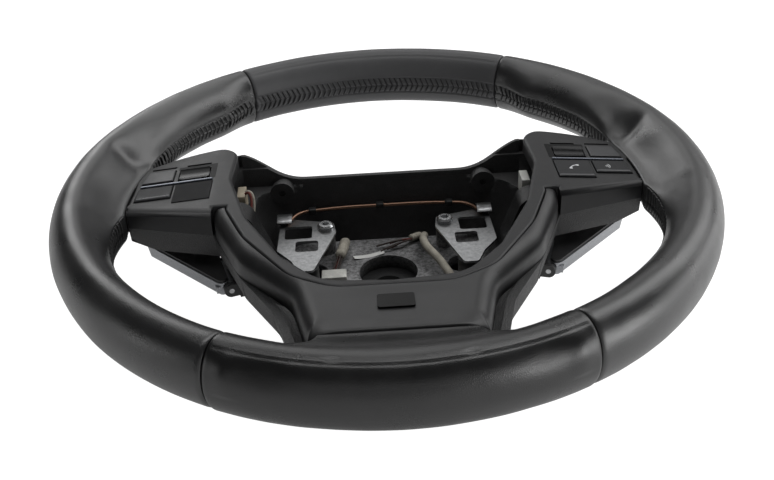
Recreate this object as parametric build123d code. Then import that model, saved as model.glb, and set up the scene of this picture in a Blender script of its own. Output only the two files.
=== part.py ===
from build123d import *
import math
import os

# A car steering wheel lying on the collar of its rear cover, without its airbag module.
# Millimetres and degrees. +Z runs along the column axis towards the driver, +Y to 12 o'clock, +X right.
# The origin is on the column axis, in the plane of the rear collar. Points are listed for the right half.

# Rim
rim_radius = 188.0          # outside of the leather
rim_height = 88.0           # middle plane of the rim above the rear collar
rim_width = 28.4            # section along the radius
rim_depth = 39.0            # section along the axis
seam_top = 58.5             # seam between the top and side leather, from the horizontal
seam_bottom = 27.75         # seam between the bottom and side leather, from 6 o'clock
seam_gap = 0.4              # groove between two leather sections
thumb_reach = 23.5          # inner half section at the thumb rest
thumb_start = 32.0          # thumb rest, from the horizontal
thumb_end = 47.0
flare_top = 14.0            # leather root of a side spoke, above and below the horizontal
flare_bottom = 5.0
flare_run = 32.0            # angle in which the root runs out into the grip below the spoke
flare_power = 2.5           # how quickly it does so
spoke_end_radius = 149.0    # end of the leather root, where the switch panel begins
lower_end = 140.0           # end of the leather tongue, where the lower trim begins
tongue_half = 14.6          # half angle of the tongue at its end, and where it has run out into the grip
tongue_foot = 17.2
root_fullness = 3.0         # how much squarer the rear of a root is than an ellipse
root_lip = 1.5              # front edge of a side root above the rim plane

# Armature
core_width = 11.0           # ring core along the radius
core_depth = 13.0
core_draft = 2.0            # narrowing of the core towards the back
arm_thickness = 6.5
arm_width = 16.0
arm_centre = 4.0            # middle of the side arms along Y
arm_clearance = 6.05        # from the floor of the rear cover to an arm
arm_knee = 70.0             # where a side arm turns up along the rear cover
arm_shoulder = 83.0         # where it levels out again
arm_bend = 6.0
arm_root = 14.0             # how far arms and legs reach into the hub plate
arm_lift = 3.0              # where a side arm leaves the plate, inside its edge
arm_tail = 3.0              # how far the level stretch runs on under the leather
leg_width = 20.0
leg_offset = 28.0           # middle of each lower leg from the axis
leg_lift = 4.0              # where a leg leaves the plate, beyond its edge
leg_shoulder = 88.0
hub_front = 31.0            # front of the hub plate
hub_thickness = 6.0
hub_plate_width = 128.0
hub_plate_length = 76.0
hub_plate_corner = 16.0
boss_radius = 27.0
boss_rear = 8.0             # rear end of the boss
bore_radius = 8.5           # bore on the column
counterbore_radius = 18.0
counterbore_depth = 9.0
relief_radius = 9.0         # round relief holes of the hub plate
relief_offset = 46.0
post_radius = 5.5           # posts under the airbag plates
screw_post = (37.5, 27.5)
rest_post = (47.0, -13.0)

# Rear cover
cover_wall = 2.4
cover_gap = 0.3             # gap to the leather
seam_drop = 9.0             # from the rim plane back to the seam between the rear cover and the front pieces
tray_depth = 15.0           # from that seam to the rear face of the spokes
tray_draft = 8.0
end_start = 134.0           # where the rear face of a side spoke begins to rise to the leather
end_rise = 5.6
foot_gap = 1.0              # gap beside the leather tongue
edge_start = (88.0, 57.5)   # upper edge of a side spoke: where its arc leaves the wall, and beyond its end
edge_end = (165.0, 24.0)
lower_edge = [(165.0, -6.0), (143.0, -12.0)]
wing_edge = [(98.0, -24.5), (80.0, -68.0), (60.0, -102.0), (50.0, -140.0), (50.0, -160.0)]
wing_round = 30.0
bowl_width = 180.0          # bowl at its front, at its waist and at the collar
bowl_length = 152.0
bowl_corner = 40.0          # upper corners
bowl_lower_corner = 70.0
bowl_shift = -20.0
bowl_drop = 14.0            # from the rim plane back to the front of the bowl
waist_width = 160.0
waist_length = 126.0
waist_corner = 38.0
waist_lower_corner = 60.0
waist_shift = -11.0
waist_height = 36.0
collar_radius = 50.0
collar_height = 8.0
collar_opening = 40.0
foot_step = 1.0             # from the collar to the foot of the bowl
foot_flat = 2.0             # half of each straight left in that foot
wall_drop = 0.5             # edge of the wall behind the airbag, at its ends and in the middle
wall_middle_drop = 18.0
notch_half = 48.0           # level stretch of that wall's edge, to each side
notch_slope = 38.0
disc_radius = 7.5           # round screw pads on the wall
disc_offset = 64.0
disc_drop = 24.0            # from the rim plane back to their middle
disc_front = 46.0           # front of the pads along Y
disc_depth = 14.0
disc_hole = 2.2

# Switch carrier
panel_outer_rise = 1.0      # panel face above the rim plane at the leather
panel_inner_rise = 5.5      # panel face above the rim plane at its inner end, and front of the band
panel_inner = 97.0          # inner end of the panels
panel_skin = 2.5
panel_ridge = 1.6           # depth taken off the lower front edge
panel_border = 3.5          # from the leather to the outer keys
band_depth = 9.0
opening_edge = [(90.0, 16.0), (78.0, -29.0), (57.0, -71.0), (36.0, -95.0), (0.0, -98.0)]
groove_edge = [(90.5, -20.0), (78.0, -52.0), (52.0, -91.0), (30.0, -103.0), (0.0, -103.0)]
band_round = 24.0
corner_round = 12.0         # upper inner corner of a panel
finger_top = -17.0          # upper end of the trim's fingers
finger_outer = 97.5

# Lower trim
trim_edge = [(97.0, -26.0), (80.0, -68.0), (51.0, -101.0), (42.0, -140.0), (42.0, -160.0)]
trim_rise = 6.5             # front of the lower trim above the rim plane
trim_draft = 12.0           # slope of its outside, up to the rim plane and above it
trim_slope = 42.0
trim_gap = 0.4
plate_width = 18.0          # bare plate on the trim
plate_length = 10.5
plate_corner = 1.2
plate_thickness = 1.6
plate_centre = -118.0
plate_proud = 0.3

# Switches on a panel face: inner and outer end along X, lower and upper end along Y
column_split = panel_inner + 0.508 * (spoke_end_radius - panel_inner)
upper_key_box = (column_split + 2.0, spoke_end_radius + 1.0, 20.6, 34.0)
rocker_box = (panel_inner + 7.0, column_split - 1.4, 19.2, 32.0)
lower_outer_box = (column_split + 1.0, spoke_end_radius + 1.0, 0.2, 14.6)
lower_inner_box = (panel_inner + 4.2, column_split - 1.0, -5.6, 14.6)
bar_box = (panel_inner + 4.0, spoke_end_radius - 4.6, 16.4, 18.0)
key_gap = 0.4
key_proud = 0.8
key_depth = 5.0             # lower end of a key under the panel face
key_travel = 1.0
key_round = 0.6
key_flange = 0.5
flange_thickness = 1.2
flange_play = 0.2
bar_proud = 0.9
bar_seat = 0.8
slot_y = 37.2               # slots above the upper row
slot_width = 1.6
slot_depth = 1.4
rocker_gap = 0.6
rocker_proud = 1.4
rocker_saddle = 16.0        # radius of the hollow in its top
saddle_depth = 1.6
rocker_axis = -4.3          # pivot under the panel face
trunnion_radius = 1.2
trunnion_gap = 0.15
ear_thickness = 1.6
ear_half = 2.6
mat_thickness = 1.0
mat_play = 0.2
board_thickness = 1.2
module_floor = 1.0
module_wall = 1.5
module_gap = 0.4
module_post = 2.0           # posts that hold the module under the panel
module_posts = [
    (panel_inner + 9.0, 43.5),
    (spoke_end_radius - 19.0, 40.0),
    (panel_inner + 15.0, -11.5),
    (spoke_end_radius - 15.0, -6.0),
]

# Shift paddles
paddle_corners = [(87.0, -48.0), (146.0, 9.0), (141.0, 22.0), (116.0, 24.0), (99.5, -8.0)]
paddle_round = 4.0
paddle_drop = 7.0           # from the rear face of a spoke to the front of its paddle
paddle_thickness = 10.0
paddle_draft = 8.0
pad_thickness = 1.6
pad_inset = 0.8
hinge_point = (94.5, -25.0)
hinge_turn = 17.3           # hinge axis, turned from Y
hinge_drop = 6.0            # from the paddle's front back to the hinge axis
barrel_radius = 4.0
barrel_length = 24.0
barrel_gap = 0.5
pin_radius = 1.5
pin_gap = 0.1
cheek_thickness = 3.0
housing_depth = 20.0
housing_height = 11.0
switch_block = (8.0, 8.0)   # paddle switch under the spoke
switch_place = (110.0, -8.0)
switch_play = 2.2           # from the paddle at rest to its switch

# Airbag seat
bracket_height = 46.5       # rear face of the plates
bracket_thickness = 1.5
bracket_outline = [(31.0, 22.0), (32.5, 33.5), (58.0, 40.0), (66.0, 40.0), (67.0, 4.0), (58.0, -8.0),
                   (53.0, -19.5), (44.5, -19.5)]
bracket_round = 2.5
window_upper = (46.0, 63.0, 16.5, 31.0)
window_lower = (42.0, 56.0, 1.5, 13.5)
window_round = 2.0
screw_radius = 2.5
screw_head_radius = 5.0
screw_head_height = 3.2
screw_gap = 0.2
drive_radius = 2.4
spring_radius = 1.1
spring_points = [(26.0, 49.0, 0.8), (54.0, 46.0, 0.8), (62.0, 34.0, 0.0)]

# Wiring held in the cavity, on the hub plate
sleeve_radius = 3.5
sleeve_path = [(-26.0, 31.0), (-27.5, 19.0), (-30.5, 7.0), (-33.0, -5.0)]
sleeve_rise = [0.0, 2.5, 2.0, 0.0]
pale_radius = 2.5
pale_path = [(25.0, 35.0), (22.5, 22.0), (25.0, 8.0), (33.0, -6.0), (40.0, -24.0)]
pale_rise = [0.0, 7.0, 7.5, 6.0, 0.0]
dark_radius = 2.0
dark_path = [(18.0, 32.0), (13.0, 28.0), (4.0, 25.5), (-5.0, 24.5)]
dark_rise = [0.0, 2.5, 2.5, 0.0]
connector_size = (15.0, 9.0, 8.0)
connector_place = (-33.0, -10.5)
plug_size = (5.0, 13.0, 12.0)
plug_place = (86.5, 26.0)

# Values that follow from those above
core_radius = rim_radius - rim_width / 2
grip_half = rim_width / 2
half_depth = rim_depth / 2
spoke_reach = core_radius - spoke_end_radius
seam_height = rim_height - seam_drop
tray_floor = seam_height - tray_depth
arm_height = tray_floor + cover_wall + arm_clearance + arm_thickness / 2
bowl_height = rim_height - bowl_drop
wall_top = rim_height - wall_drop
wall_middle = rim_height - wall_middle_drop
disc_height = rim_height - disc_drop
paddle_front = tray_floor - paddle_drop
hinge_height = paddle_front - hinge_drop
gap_angle = math.degrees(seam_gap / 2 / core_radius)
front_height = rim_height + panel_inner_rise
panel_fall = panel_inner_rise - panel_outer_rise
panel_tilt = math.degrees(math.atan(panel_fall / (spoke_end_radius - panel_inner)))
panel_end = spoke_end_radius - cover_gap
mat_top = -key_depth - key_travel - mat_play
board_top = mat_top - mat_thickness
floor_top = board_top - board_thickness
module_bottom = floor_top - module_floor
bracket_top = bracket_height + bracket_thickness
key_reach = panel_end - panel_border
large = 4 * rim_radius


def polar(radius, angle, height=0.0):
    turn = math.radians(angle)
    return (radius * math.cos(turn), radius * math.sin(turn), height)


def ease(part):
    return part * part * (3 - 2 * part)


def straight(part):
    return part


def quick_rise(part):
    return part**flare_power


def rim_section(angle, reach, full, lip):
    """Section of the rim: an ellipse; on a root the front falls gently to its lip, the rear is fuller."""
    plane = Plane(
        origin=polar(core_radius, angle, rim_height),
        x_dir=polar(1.0, angle),
        z_dir=polar(1.0, angle - 90.0),
    )
    outside = EllipticalCenterArc((0, 0), grip_half, half_depth, start_angle=-90, arc_size=180)
    fall = []
    for part in (0.2, 0.4, 0.6, 0.8, 0.95):
        rounded = half_depth * math.sqrt(1 - part * part)
        gentle = lip + (half_depth - lip) * (1 + math.cos(math.pi * part)) / 2
        fall.append((-reach * part, rounded + (gentle - rounded) * full))
    front = Spline((0, half_depth), *fall, (-reach, 0), tangents=[(-1, 0), (0, -1)])
    power = 2.0 / (2.0 + root_fullness * full)
    middle = []
    for turn in (22.5, 45.0, 67.5):
        along = math.cos(math.radians(turn)) ** power
        down = math.sin(math.radians(turn)) ** power
        middle.append((-reach * along, -half_depth * down))
    rear = Spline((-reach, 0), *middle, (0, -half_depth), tangents=[(0, -1), (1, 0)])
    return plane * make_face(outside + front + rear)


def rim_stretch(start, end, start_shape, end_shape, growth=ease, steps=4):
    """Stretch of the rim between two angles; a shape is its inner reach, its fullness and its lip."""
    if start_shape == end_shape:
        return revolve(rim_section(start, *start_shape), Axis.Z, end - start)
    sections = []
    for step in range(steps + 1):
        part = step / steps
        shape = [low + (high - low) * growth(part) for low, high in zip(start_shape, end_shape)]
        sections.append(rim_section(start + (end - start) * part, *shape))
    return loft(sections)


def make_side_grip(armature):
    grip = (grip_half, 0.0, root_lip)
    root = (spoke_reach, 1.0, root_lip)
    thumb = (thumb_reach, 0.0, root_lip)
    body = rim_stretch(-90 + seam_bottom + gap_angle, -flare_bottom - flare_run, grip, grip)
    body += rim_stretch(-flare_bottom - flare_run, -flare_bottom, grip, root, quick_rise)
    body += rim_stretch(-flare_bottom, flare_top, root, root)
    body += rim_stretch(flare_top, thumb_start, root, thumb)
    body += rim_stretch(thumb_start, thumb_end, thumb, thumb)
    body += rim_stretch(thumb_end, seam_top - gap_angle, thumb, grip)
    return body - armature


def make_top_grip(armature):
    grip = (grip_half, 0.0, root_lip)
    return rim_stretch(seam_top + gap_angle, 180 - seam_top - gap_angle, grip, grip) - armature


def make_bottom_grip(armature):
    """Bottom grip: its inner side reaches in to a straight tongue across the lower spoke."""
    grip = (grip_half, 0.0, trim_rise)
    corner = (core_radius - lower_end / math.cos(math.radians(tongue_half)), 1.0, trim_rise)
    half = rim_stretch(-90 + tongue_half, -90 + tongue_foot, corner, grip, straight)
    half += rim_stretch(-90 + tongue_foot, -90 + seam_bottom - gap_angle, grip, grip)
    sections = []
    for part in (-1.0, -0.5, 0.0, 0.5, 1.0):
        run = part * tongue_half
        reach = core_radius - lower_end / math.cos(math.radians(run))
        sections.append(rim_section(run - 90, reach, 1.0, trim_rise))
    below_trim = Pos(0, -lower_end - large / 2, rim_height) * Box(large, large, large)
    body = loft(sections) + half + mirror(half, Plane.YZ)
    return (body & below_trim) - armature


def bent_bar(points, width, bend):
    """Flat bar bent along points in its side view, centred on the sketch plane."""
    centre = FilletPolyline(*points, radius=bend)
    return extrude(trace(centre, arm_thickness), width / 2, both=True)


def make_armature():
    half = core_width / 2
    core = Polyline(
        (core_radius - half, core_depth / 2),
        (core_radius + half, core_depth / 2),
        (core_radius + half - core_draft, -core_depth / 2),
        (core_radius - half + core_draft, -core_depth / 2),
        close=True,
    )
    body = revolve(Pos(0, 0, rim_height) * (Plane.XZ * make_face(core)), Axis.Z)
    hub_middle = hub_front - arm_thickness / 2
    arm_points = [
        (hub_plate_width / 2 - arm_root, hub_middle),
        (hub_plate_width / 2 - arm_lift, hub_middle),
        (arm_knee, bracket_height - arm_thickness),
        (arm_shoulder, arm_height),
        (spoke_end_radius + arm_tail, arm_height),
        (core_radius, rim_height),
    ]
    arm_plane = Plane(origin=(0, arm_centre, 0), x_dir=(1, 0, 0), z_dir=(0, -1, 0))
    arm = arm_plane * bent_bar(arm_points, arm_width, arm_bend)
    leg_points = [
        (hub_plate_length / 2 - arm_root, hub_middle),
        (hub_plate_length / 2 + leg_lift, hub_middle),
        (leg_shoulder, arm_height),
        (lower_end + arm_tail, arm_height),
        (core_radius, rim_height),
    ]
    leg_plane = Plane(origin=(leg_offset, 0, 0), x_dir=(0, -1, 0), z_dir=(-1, 0, 0))
    leg = leg_plane * bent_bar(leg_points, leg_width, arm_bend)
    plate = RectangleRounded(hub_plate_width, hub_plate_length, hub_plate_corner)
    body += Pos(0, 0, hub_front - hub_thickness) * extrude(plate, hub_thickness)
    body += Pos(0, 0, boss_rear) * extrude(Circle(boss_radius), hub_front - boss_rear)
    for piece in (arm, leg):
        body += piece
        body += mirror(piece, Plane.YZ)
    body -= extrude(Circle(bore_radius), hub_front)
    body -= Pos(0, 0, hub_front - counterbore_depth) * extrude(Circle(counterbore_radius), counterbore_depth)
    for side in (-1, 1):
        for x, y in (screw_post, rest_post):
            post = Pos(side * x, y, hub_front - hub_thickness)
            body += post * extrude(Circle(post_radius), bracket_height - hub_front + hub_thickness)
        body -= Pos(side * relief_offset, arm_centre, 0) * extrude(Circle(relief_radius), hub_front)
        hole = Pos(side * screw_post[0], screw_post[1], hub_front)
        body -= hole * extrude(Circle(screw_radius), bracket_height - hub_front)
    return body


def resized(outline, amount):
    """Outline moved outwards by an amount, or inwards by a negative one."""
    return make_face(outline.face().outer_wire().offset_2d(amount).edges())


def mirrored_face(half):
    """Closed outline from the right half of a symmetrical one."""
    return make_face(half + mirror(half, Plane.YZ))


def upper_edge():
    """Upper edge of a side spoke, from the wall behind the airbag to inside the leather."""
    return TangentArc(edge_start, edge_end, tangent=(1, 0))


def inside_leather(gap):
    """Space between the leather roots and above the tongue."""
    disc = extrude(Circle(spoke_end_radius - gap), large)
    return disc - Pos(0, -lower_end + gap - large / 2, 0) * Box(large, large, large)


def beside_tongue(gap):
    """Spaces between the tongue's sides and the grip, in which the rear cover's wings end."""
    grip_edge = core_radius - grip_half - gap
    corner = (lower_end * math.tan(math.radians(tongue_half)) + foot_gap, -lower_end + gap)
    foot_x, foot_y, _ = polar(grip_edge, tongue_foot - 90)
    side = Polyline(
        corner,
        (foot_x + foot_gap, foot_y),
        (foot_x + foot_gap, -large),
        (large, -large),
        (large, corner[1]),
        close=True,
    )
    space = extrude(make_face(side) & Circle(grip_edge), large)
    return space + mirror(space, Plane.YZ)


def tray_end(lift):
    """Space behind the rising rear faces of the two side spokes, moved forwards by a lift."""
    slope = math.atan(end_rise / (spoke_end_radius - end_start))
    rear_face = Plane(
        origin=(end_start, 0, tray_floor + lift / math.cos(slope)),
        x_dir=(math.cos(slope), 0, math.sin(slope)),
        z_dir=(-math.sin(slope), 0, math.cos(slope)),
    )
    space = rear_face * (Pos(large / 2, 0, -large / 2) * Box(large, large, large))
    return space + mirror(space, Plane.YZ)


def tray_outline():
    half = Line((0, edge_start[1]), edge_start) + upper_edge()
    half += Polyline(edge_end, lower_edge[0], lower_edge[1], wing_edge[0])
    half += FilletPolyline(*wing_edge, radius=wing_round)
    half += Line(wing_edge[-1], (0, wing_edge[-1][1]))
    return mirrored_face(half)


def bowl_ring(width, length, corner, lower_corner, inset):
    ring = Rectangle(width - 2 * inset, length - 2 * inset)
    ring = fillet(ring.vertices().group_by(Axis.Y)[-1], corner - inset)
    return fillet(ring.vertices().group_by(Axis.Y)[0], lower_corner - inset)


def bowl(inset):
    """Bowl behind the airbag, lofted from the spokes back to the collar."""
    front = bowl_ring(bowl_width, bowl_length, bowl_corner, bowl_lower_corner, inset)
    waist = bowl_ring(waist_width, waist_length, waist_corner, waist_lower_corner, inset)
    foot_side = 2 * (collar_radius - foot_step)
    foot_corner = foot_side / 2 - foot_flat
    foot = bowl_ring(foot_side, foot_side, foot_corner, foot_corner, inset)
    places = [
        Pos(0, bowl_shift, bowl_height) * front,
        Pos(0, waist_shift, waist_height) * waist,
        Pos(0, 0, collar_height - cover_wall + inset) * foot,
    ]
    return loft(places)


def drafted(outline, start, end, draft):
    """Solid from an outline at one height to another height, narrowing by a draft."""
    body = extrude(outline, abs(end - start), taper=draft)
    if (body.center().Z > 0) != (end > start):
        body = mirror(body, Plane.XY)
    return Pos(0, 0, start) * body


def make_rear_cover():
    outline = tray_outline()
    inner_outline = resized(outline, -cover_wall - tray_depth * math.tan(math.radians(tray_draft)))
    body = drafted(outline, seam_height, tray_floor, tray_draft) - tray_end(0)
    body += bowl(0)
    wall = Pos(0, 0, seam_height) * extrude(outline - resized(outline, -cover_wall), wall_top - seam_height)
    body += wall & Pos(0, edge_start[1], seam_height) * Box(2 * edge_start[0], 4 * cover_wall, large)
    body += extrude(Circle(collar_radius), collar_height)
    tray_space = Pos(0, 0, tray_floor + cover_wall) * extrude(inner_outline, tray_depth - cover_wall)
    body -= tray_space - tray_end(cover_wall)
    body -= bowl(cover_wall)
    body -= extrude(Circle(collar_opening), collar_height + cover_wall)
    ends = notch_half + notch_slope
    slope = Spline((notch_half, wall_middle), (ends, wall_top), tangents=[(1, 0), (1, 0.4)])
    notch = slope + Line((ends, wall_top), (ends, large / 4)) + Line((ends, large / 4), (0, large / 4))
    notch += Line((notch_half, wall_middle), (0, wall_middle))
    body -= extrude(Plane.XZ * mirrored_face(notch), -large)
    for side in (-1, 1):
        seat = Plane(origin=(side * disc_offset, disc_front, disc_height), z_dir=(0, 1, 0))
        body += seat * extrude(Circle(disc_radius), disc_depth) & bowl(cover_wall / 2)
        body -= seat * extrude(Circle(disc_hole), disc_depth)
    return body & (inside_leather(cover_gap) + beside_tongue(cover_gap))


def panel_plane():
    """Face of the right switch panel: x runs outwards from its inner end, y to 12 o'clock."""
    turn = math.radians(panel_tilt)
    return Plane(
        origin=(panel_inner, 0, front_height),
        x_dir=(math.cos(turn), 0, -math.sin(turn)),
        z_dir=(math.sin(turn), 0, math.cos(turn)),
    )


def behind_panel(depth):
    """Everything behind the right panel face, from a depth under it."""
    return panel_plane() * (Pos(0, 0, -depth - large / 2) * Box(large, large, large))


def panel_block(box, low, high, grow=0.0):
    """Block on the right panel face, from one level to another, grown at its sides."""
    inner, outer, lower, upper = box
    middle = Pos((inner + outer) / 2 - panel_inner, (lower + upper) / 2, low)
    return panel_plane() * (
        middle * extrude(Rectangle(outer - inner + 2 * grow, upper - lower + 2 * grow), high - low)
    )


def key_block(box, low, high, grow=0.0):
    """Block of a key, whose outer end follows the curve of the leather."""
    return panel_block(box, low, high, grow) & extrude(Circle(key_reach + grow), large)


def panel_outline():
    """Outline of the right panel in front view."""
    inner_low = (panel_inner, wing_edge[0][1] + panel_skin)
    edges = Polyline(edge_end, lower_edge[0], lower_edge[1], wing_edge[0], inner_low, (panel_inner, 0))
    edges += Polyline((panel_inner, 0), (panel_inner, edge_start[1]), edge_start)
    outline = make_face(edges + upper_edge())
    return outline & Pos(panel_inner + large / 2, 0) * Rectangle(large, large)


def panel_layer(low, high, inset):
    """Slab behind the right panel between two levels, inside the panel's outline."""
    slab = extrude(resized(panel_outline(), -inset), large / 4)
    slab &= extrude(Circle(panel_end - inset), large)
    return (slab & behind_panel(-high)) - behind_panel(-low)


def rocker_place():
    inner, outer, lower, upper = rocker_box
    return panel_plane() * Pos((inner + outer) / 2 - panel_inner, (lower + upper) / 2, 0)


def rocker_bar(shape, half_length):
    """Bar along the rocker's pivot direction, drawn in its side view."""
    side = Plane(origin=(0, 0, 0), x_dir=(0, 1, 0), z_dir=(1, 0, 0))
    return rocker_place() * (side * extrude(shape, half_length, both=True))


def ridge_chamfer():
    """Half space that takes the lower front edge off the right panel."""
    start = Vector(*wing_edge[0])
    end = Vector(*lower_edge[1])
    along = (end - start).normalized()
    outwards = Vector(along.Y, -along.X, 0)
    middle = (start + end) / 2
    fall = (middle.X - panel_inner) * math.tan(math.radians(panel_tilt))
    corner = Vector(middle.X, middle.Y, front_height - fall)
    facing = (outwards + panel_plane().z_dir).normalized()
    plane = Plane(origin=corner - facing * panel_ridge, x_dir=along, z_dir=facing)
    return plane * (Pos(0, 0, large / 2) * Box(large, large, large))


def make_switch_carrier():
    inner = FilletPolyline(edge_start, *opening_edge, radius=band_round)
    notch_x = finger_outer + trim_gap
    notch_y = finger_top + trim_gap
    outer = upper_edge() + Polyline(
        edge_end,
        lower_edge[0],
        lower_edge[1],
        (notch_x + trim_gap, wing_edge[0][1]),
        (notch_x, notch_y),
        (groove_edge[0][0], notch_y),
        groove_edge[0],
    )
    outer += FilletPolyline(*groove_edge, radius=band_round)
    outline = make_face(outer + Line(groove_edge[-1], opening_edge[-1]) + inner)
    outline = fillet(outline.vertices().sort_by_distance(edge_start)[0], corner_round)
    half = Pos(0, 0, seam_height) * extrude(outline, front_height - seam_height)
    half &= behind_panel(0)
    half -= ridge_chamfer() & Pos(notch_x + large / 2, 0, 0) * Box(large, large, large)
    pocket = panel_layer(-large / 8, -panel_skin, panel_skin)
    half -= pocket
    under_band = Box(2 * panel_inner - 2 * panel_skin, large, 2 * (front_height - band_depth))
    half -= under_band
    for box in (upper_key_box, lower_outer_box, lower_inner_box):
        half -= key_block(box, -2 * panel_skin, large / 8, key_gap)
    half -= panel_block(rocker_box, -2 * panel_skin, large / 8, rocker_gap)
    half -= panel_block(bar_box, -bar_seat, large / 8)
    for box in (rocker_box, upper_key_box):
        slot = (box[0], min(box[1], key_reach - slot_width) - 2 * slot_width, slot_y, slot_y + slot_width)
        half -= panel_block(slot, -slot_depth, large / 8)
    for x, y in module_posts:
        post = Pos(x - panel_inner, y, mat_top) * extrude(Circle(module_post), -mat_top - panel_skin / 2)
        half += panel_plane() * post
    half += make_rocker_ears()
    return (half + mirror(half, Plane.YZ)) & inside_leather(cover_gap)


def make_rocker_ears():
    """Bearings under the panel for the trunnions of the rocker."""
    inner, outer, lower, upper = rocker_box
    middle = (lower + upper) / 2
    ears = Part()
    for start in (inner - rocker_gap - ear_thickness, outer + rocker_gap):
        ear = (start, start + ear_thickness, middle - ear_half, middle + ear_half)
        ears += panel_block(ear, mat_top + mat_play / 2, -panel_skin / 2)
    return ears - rocker_bar(Pos(0, rocker_axis) * Circle(trunnion_radius + trunnion_gap), outer - inner)


def make_rocker():
    inner, outer, lower, upper = rocker_box
    half_width = (outer - inner) / 2
    side_view = Pos(0, (rocker_proud - key_depth) / 2) * Rectangle(upper - lower, rocker_proud + key_depth)
    side_view -= Pos(0, rocker_proud - saddle_depth + rocker_saddle) * Circle(rocker_saddle)
    axle = Pos(0, rocker_axis) * Circle(trunnion_radius)
    return rocker_bar(side_view, half_width) + rocker_bar(axle, half_width + rocker_gap + ear_thickness)


def make_key(box):
    body = key_block(box, -key_depth, key_proud)
    front = body.faces().sort_by(Axis.Z)[-1]
    body = fillet(front.edges(), key_round)
    flange_top = -panel_skin - flange_play
    return body + key_block(box, flange_top - flange_thickness, flange_top, key_flange)


def make_filler():
    body = key_block(lower_inner_box, -panel_skin, key_proud / 2, key_gap)
    rim = key_block(lower_inner_box, -panel_skin - flange_thickness, -panel_skin, key_gap + key_flange)
    return body + rim


def make_bar():
    return panel_block(bar_box, -bar_seat, bar_proud)


def make_module():
    inset = panel_skin + module_gap
    return panel_layer(module_bottom, mat_top, inset) - panel_layer(floor_top, 0, inset + module_wall)


def make_board():
    return panel_layer(floor_top, board_top, panel_skin + module_gap + module_wall)


def make_mat():
    return panel_layer(board_top, mat_top, panel_skin + module_gap + module_wall)


def make_lower_trim():
    top = Polyline((0, finger_top), (finger_outer, finger_top), trim_edge[0])
    side = FilletPolyline(*trim_edge, radius=band_round)
    outline = mirrored_face(top + side + Line(trim_edge[-1], (0, trim_edge[-1][1])))
    body = drafted(outline, seam_height, rim_height, trim_draft)
    drawn_in = (rim_height - seam_height) * math.tan(math.radians(trim_draft))
    body += drafted(resized(outline, -drawn_in), rim_height, rim_height + trim_rise, trim_slope)
    rise = (groove_edge[0][0], finger_top + trim_rise)
    groove = FilletPolyline(*groove_edge, radius=band_round)
    hole = mirrored_face(Polyline((0, rise[1]), rise, groove_edge[0]) + groove)
    body -= Pos(0, 0, seam_height) * extrude(resized(hole, trim_gap), large / 4)
    return (body - make_plate()) & inside_leather(cover_gap)


def make_plate():
    level = rim_height + trim_rise + plate_proud - plate_thickness
    return Pos(0, plate_centre, level) * extrude(
        RectangleRounded(plate_width, plate_length, plate_corner), plate_thickness
    )


def make_bracket():
    outline = fillet(make_face(Polyline(*bracket_outline, close=True)).vertices(), bracket_round)
    for inner, outer, lower, upper in (window_upper, window_lower):
        window = RectangleRounded(outer - inner, upper - lower, window_round)
        outline -= Pos((inner + outer) / 2, (lower + upper) / 2) * window
    outline -= Pos(*screw_post) * Circle(screw_radius + screw_gap)
    return Pos(0, 0, bracket_height) * extrude(outline, bracket_thickness)


def make_bracket_screw():
    shank = Pos(0, 0, hub_front) * extrude(Circle(screw_radius), bracket_top - hub_front)
    head = Pos(0, 0, bracket_top) * extrude(Circle(screw_head_radius), screw_head_height)
    head = chamfer(head.faces().sort_by(Axis.Z)[-1].edges(), screw_head_height / 3)
    recess = extrude(RegularPolygon(drive_radius, 6), screw_head_height)
    drive = Pos(0, 0, bracket_top + screw_head_height / 2) * recess
    return Pos(*screw_post) * (shank + head - drive)


def cord_tube(points, radius):
    """Tube along straight runs joined by arcs as large as the runs allow."""
    places = [Vector(*point) for point in points]
    radii = []
    for before, corner, after in zip(places, places[1:], places[2:]):
        turn = (corner - before).get_angle(after - corner)
        run = min((corner - before).length, (after - corner).length)
        radii.append(0.45 * run / math.tan(math.radians(turn) / 2))
    path = FilletPolyline(*points, radius=radii)
    return sweep(Plane(origin=path @ 0, z_dir=path % 0) * Circle(radius), path)


def make_spring():
    """Release spring along the wall, its two ends lying on the airbag plates."""
    level = bracket_top + spring_radius
    right = [(x, y, level + rise) for x, y, rise in spring_points]
    left = [(-x, y, z) for x, y, z in reversed(right)]
    return cord_tube(left + right, spring_radius)


def hub_lead(path, rises, radius):
    """Lead along a path over the hub plate, its ends lying on the plate."""
    points = [(x, y, hub_front + radius + rise) for (x, y), rise in zip(path, rises)]
    return cord_tube(points, radius)


def standing_box(size, place, height):
    return Pos(place[0], place[1], height) * extrude(Rectangle(size[0], size[1]), size[2])


def hinge_plane():
    """Plane across the right paddle's hinge: x points outwards, y to the back, z along the axis."""
    turn = math.radians(hinge_turn)
    return Plane(
        origin=(hinge_point[0], hinge_point[1], hinge_height),
        x_dir=(math.cos(turn), -math.sin(turn), 0),
        z_dir=(math.sin(turn), math.cos(turn), 0),
    )


def paddle_outline():
    outline = make_face(Polyline(*paddle_corners, close=True))
    return fillet(outline.vertices(), paddle_round)


def make_paddle():
    front = paddle_front - pad_thickness
    body = drafted(paddle_outline(), front, paddle_front - paddle_thickness, paddle_draft)
    reach = barrel_length / 2 + barrel_gap + cheek_thickness + barrel_gap
    swing = Circle(barrel_radius + barrel_gap)
    inside = Pos(-large / 2, 0) * Rectangle(large, 2 * (barrel_radius + barrel_gap))
    space = hinge_plane() * extrude(swing + inside, reach, both=True)
    body -= space
    arm = Pos(barrel_radius, 0) * Rectangle(2 * barrel_radius, barrel_radius)
    body += hinge_plane() * extrude(Circle(barrel_radius) + arm, barrel_length / 2, both=True)
    return body - hinge_plane() * extrude(Circle(pin_radius + pin_gap), large / 8, both=True)


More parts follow.
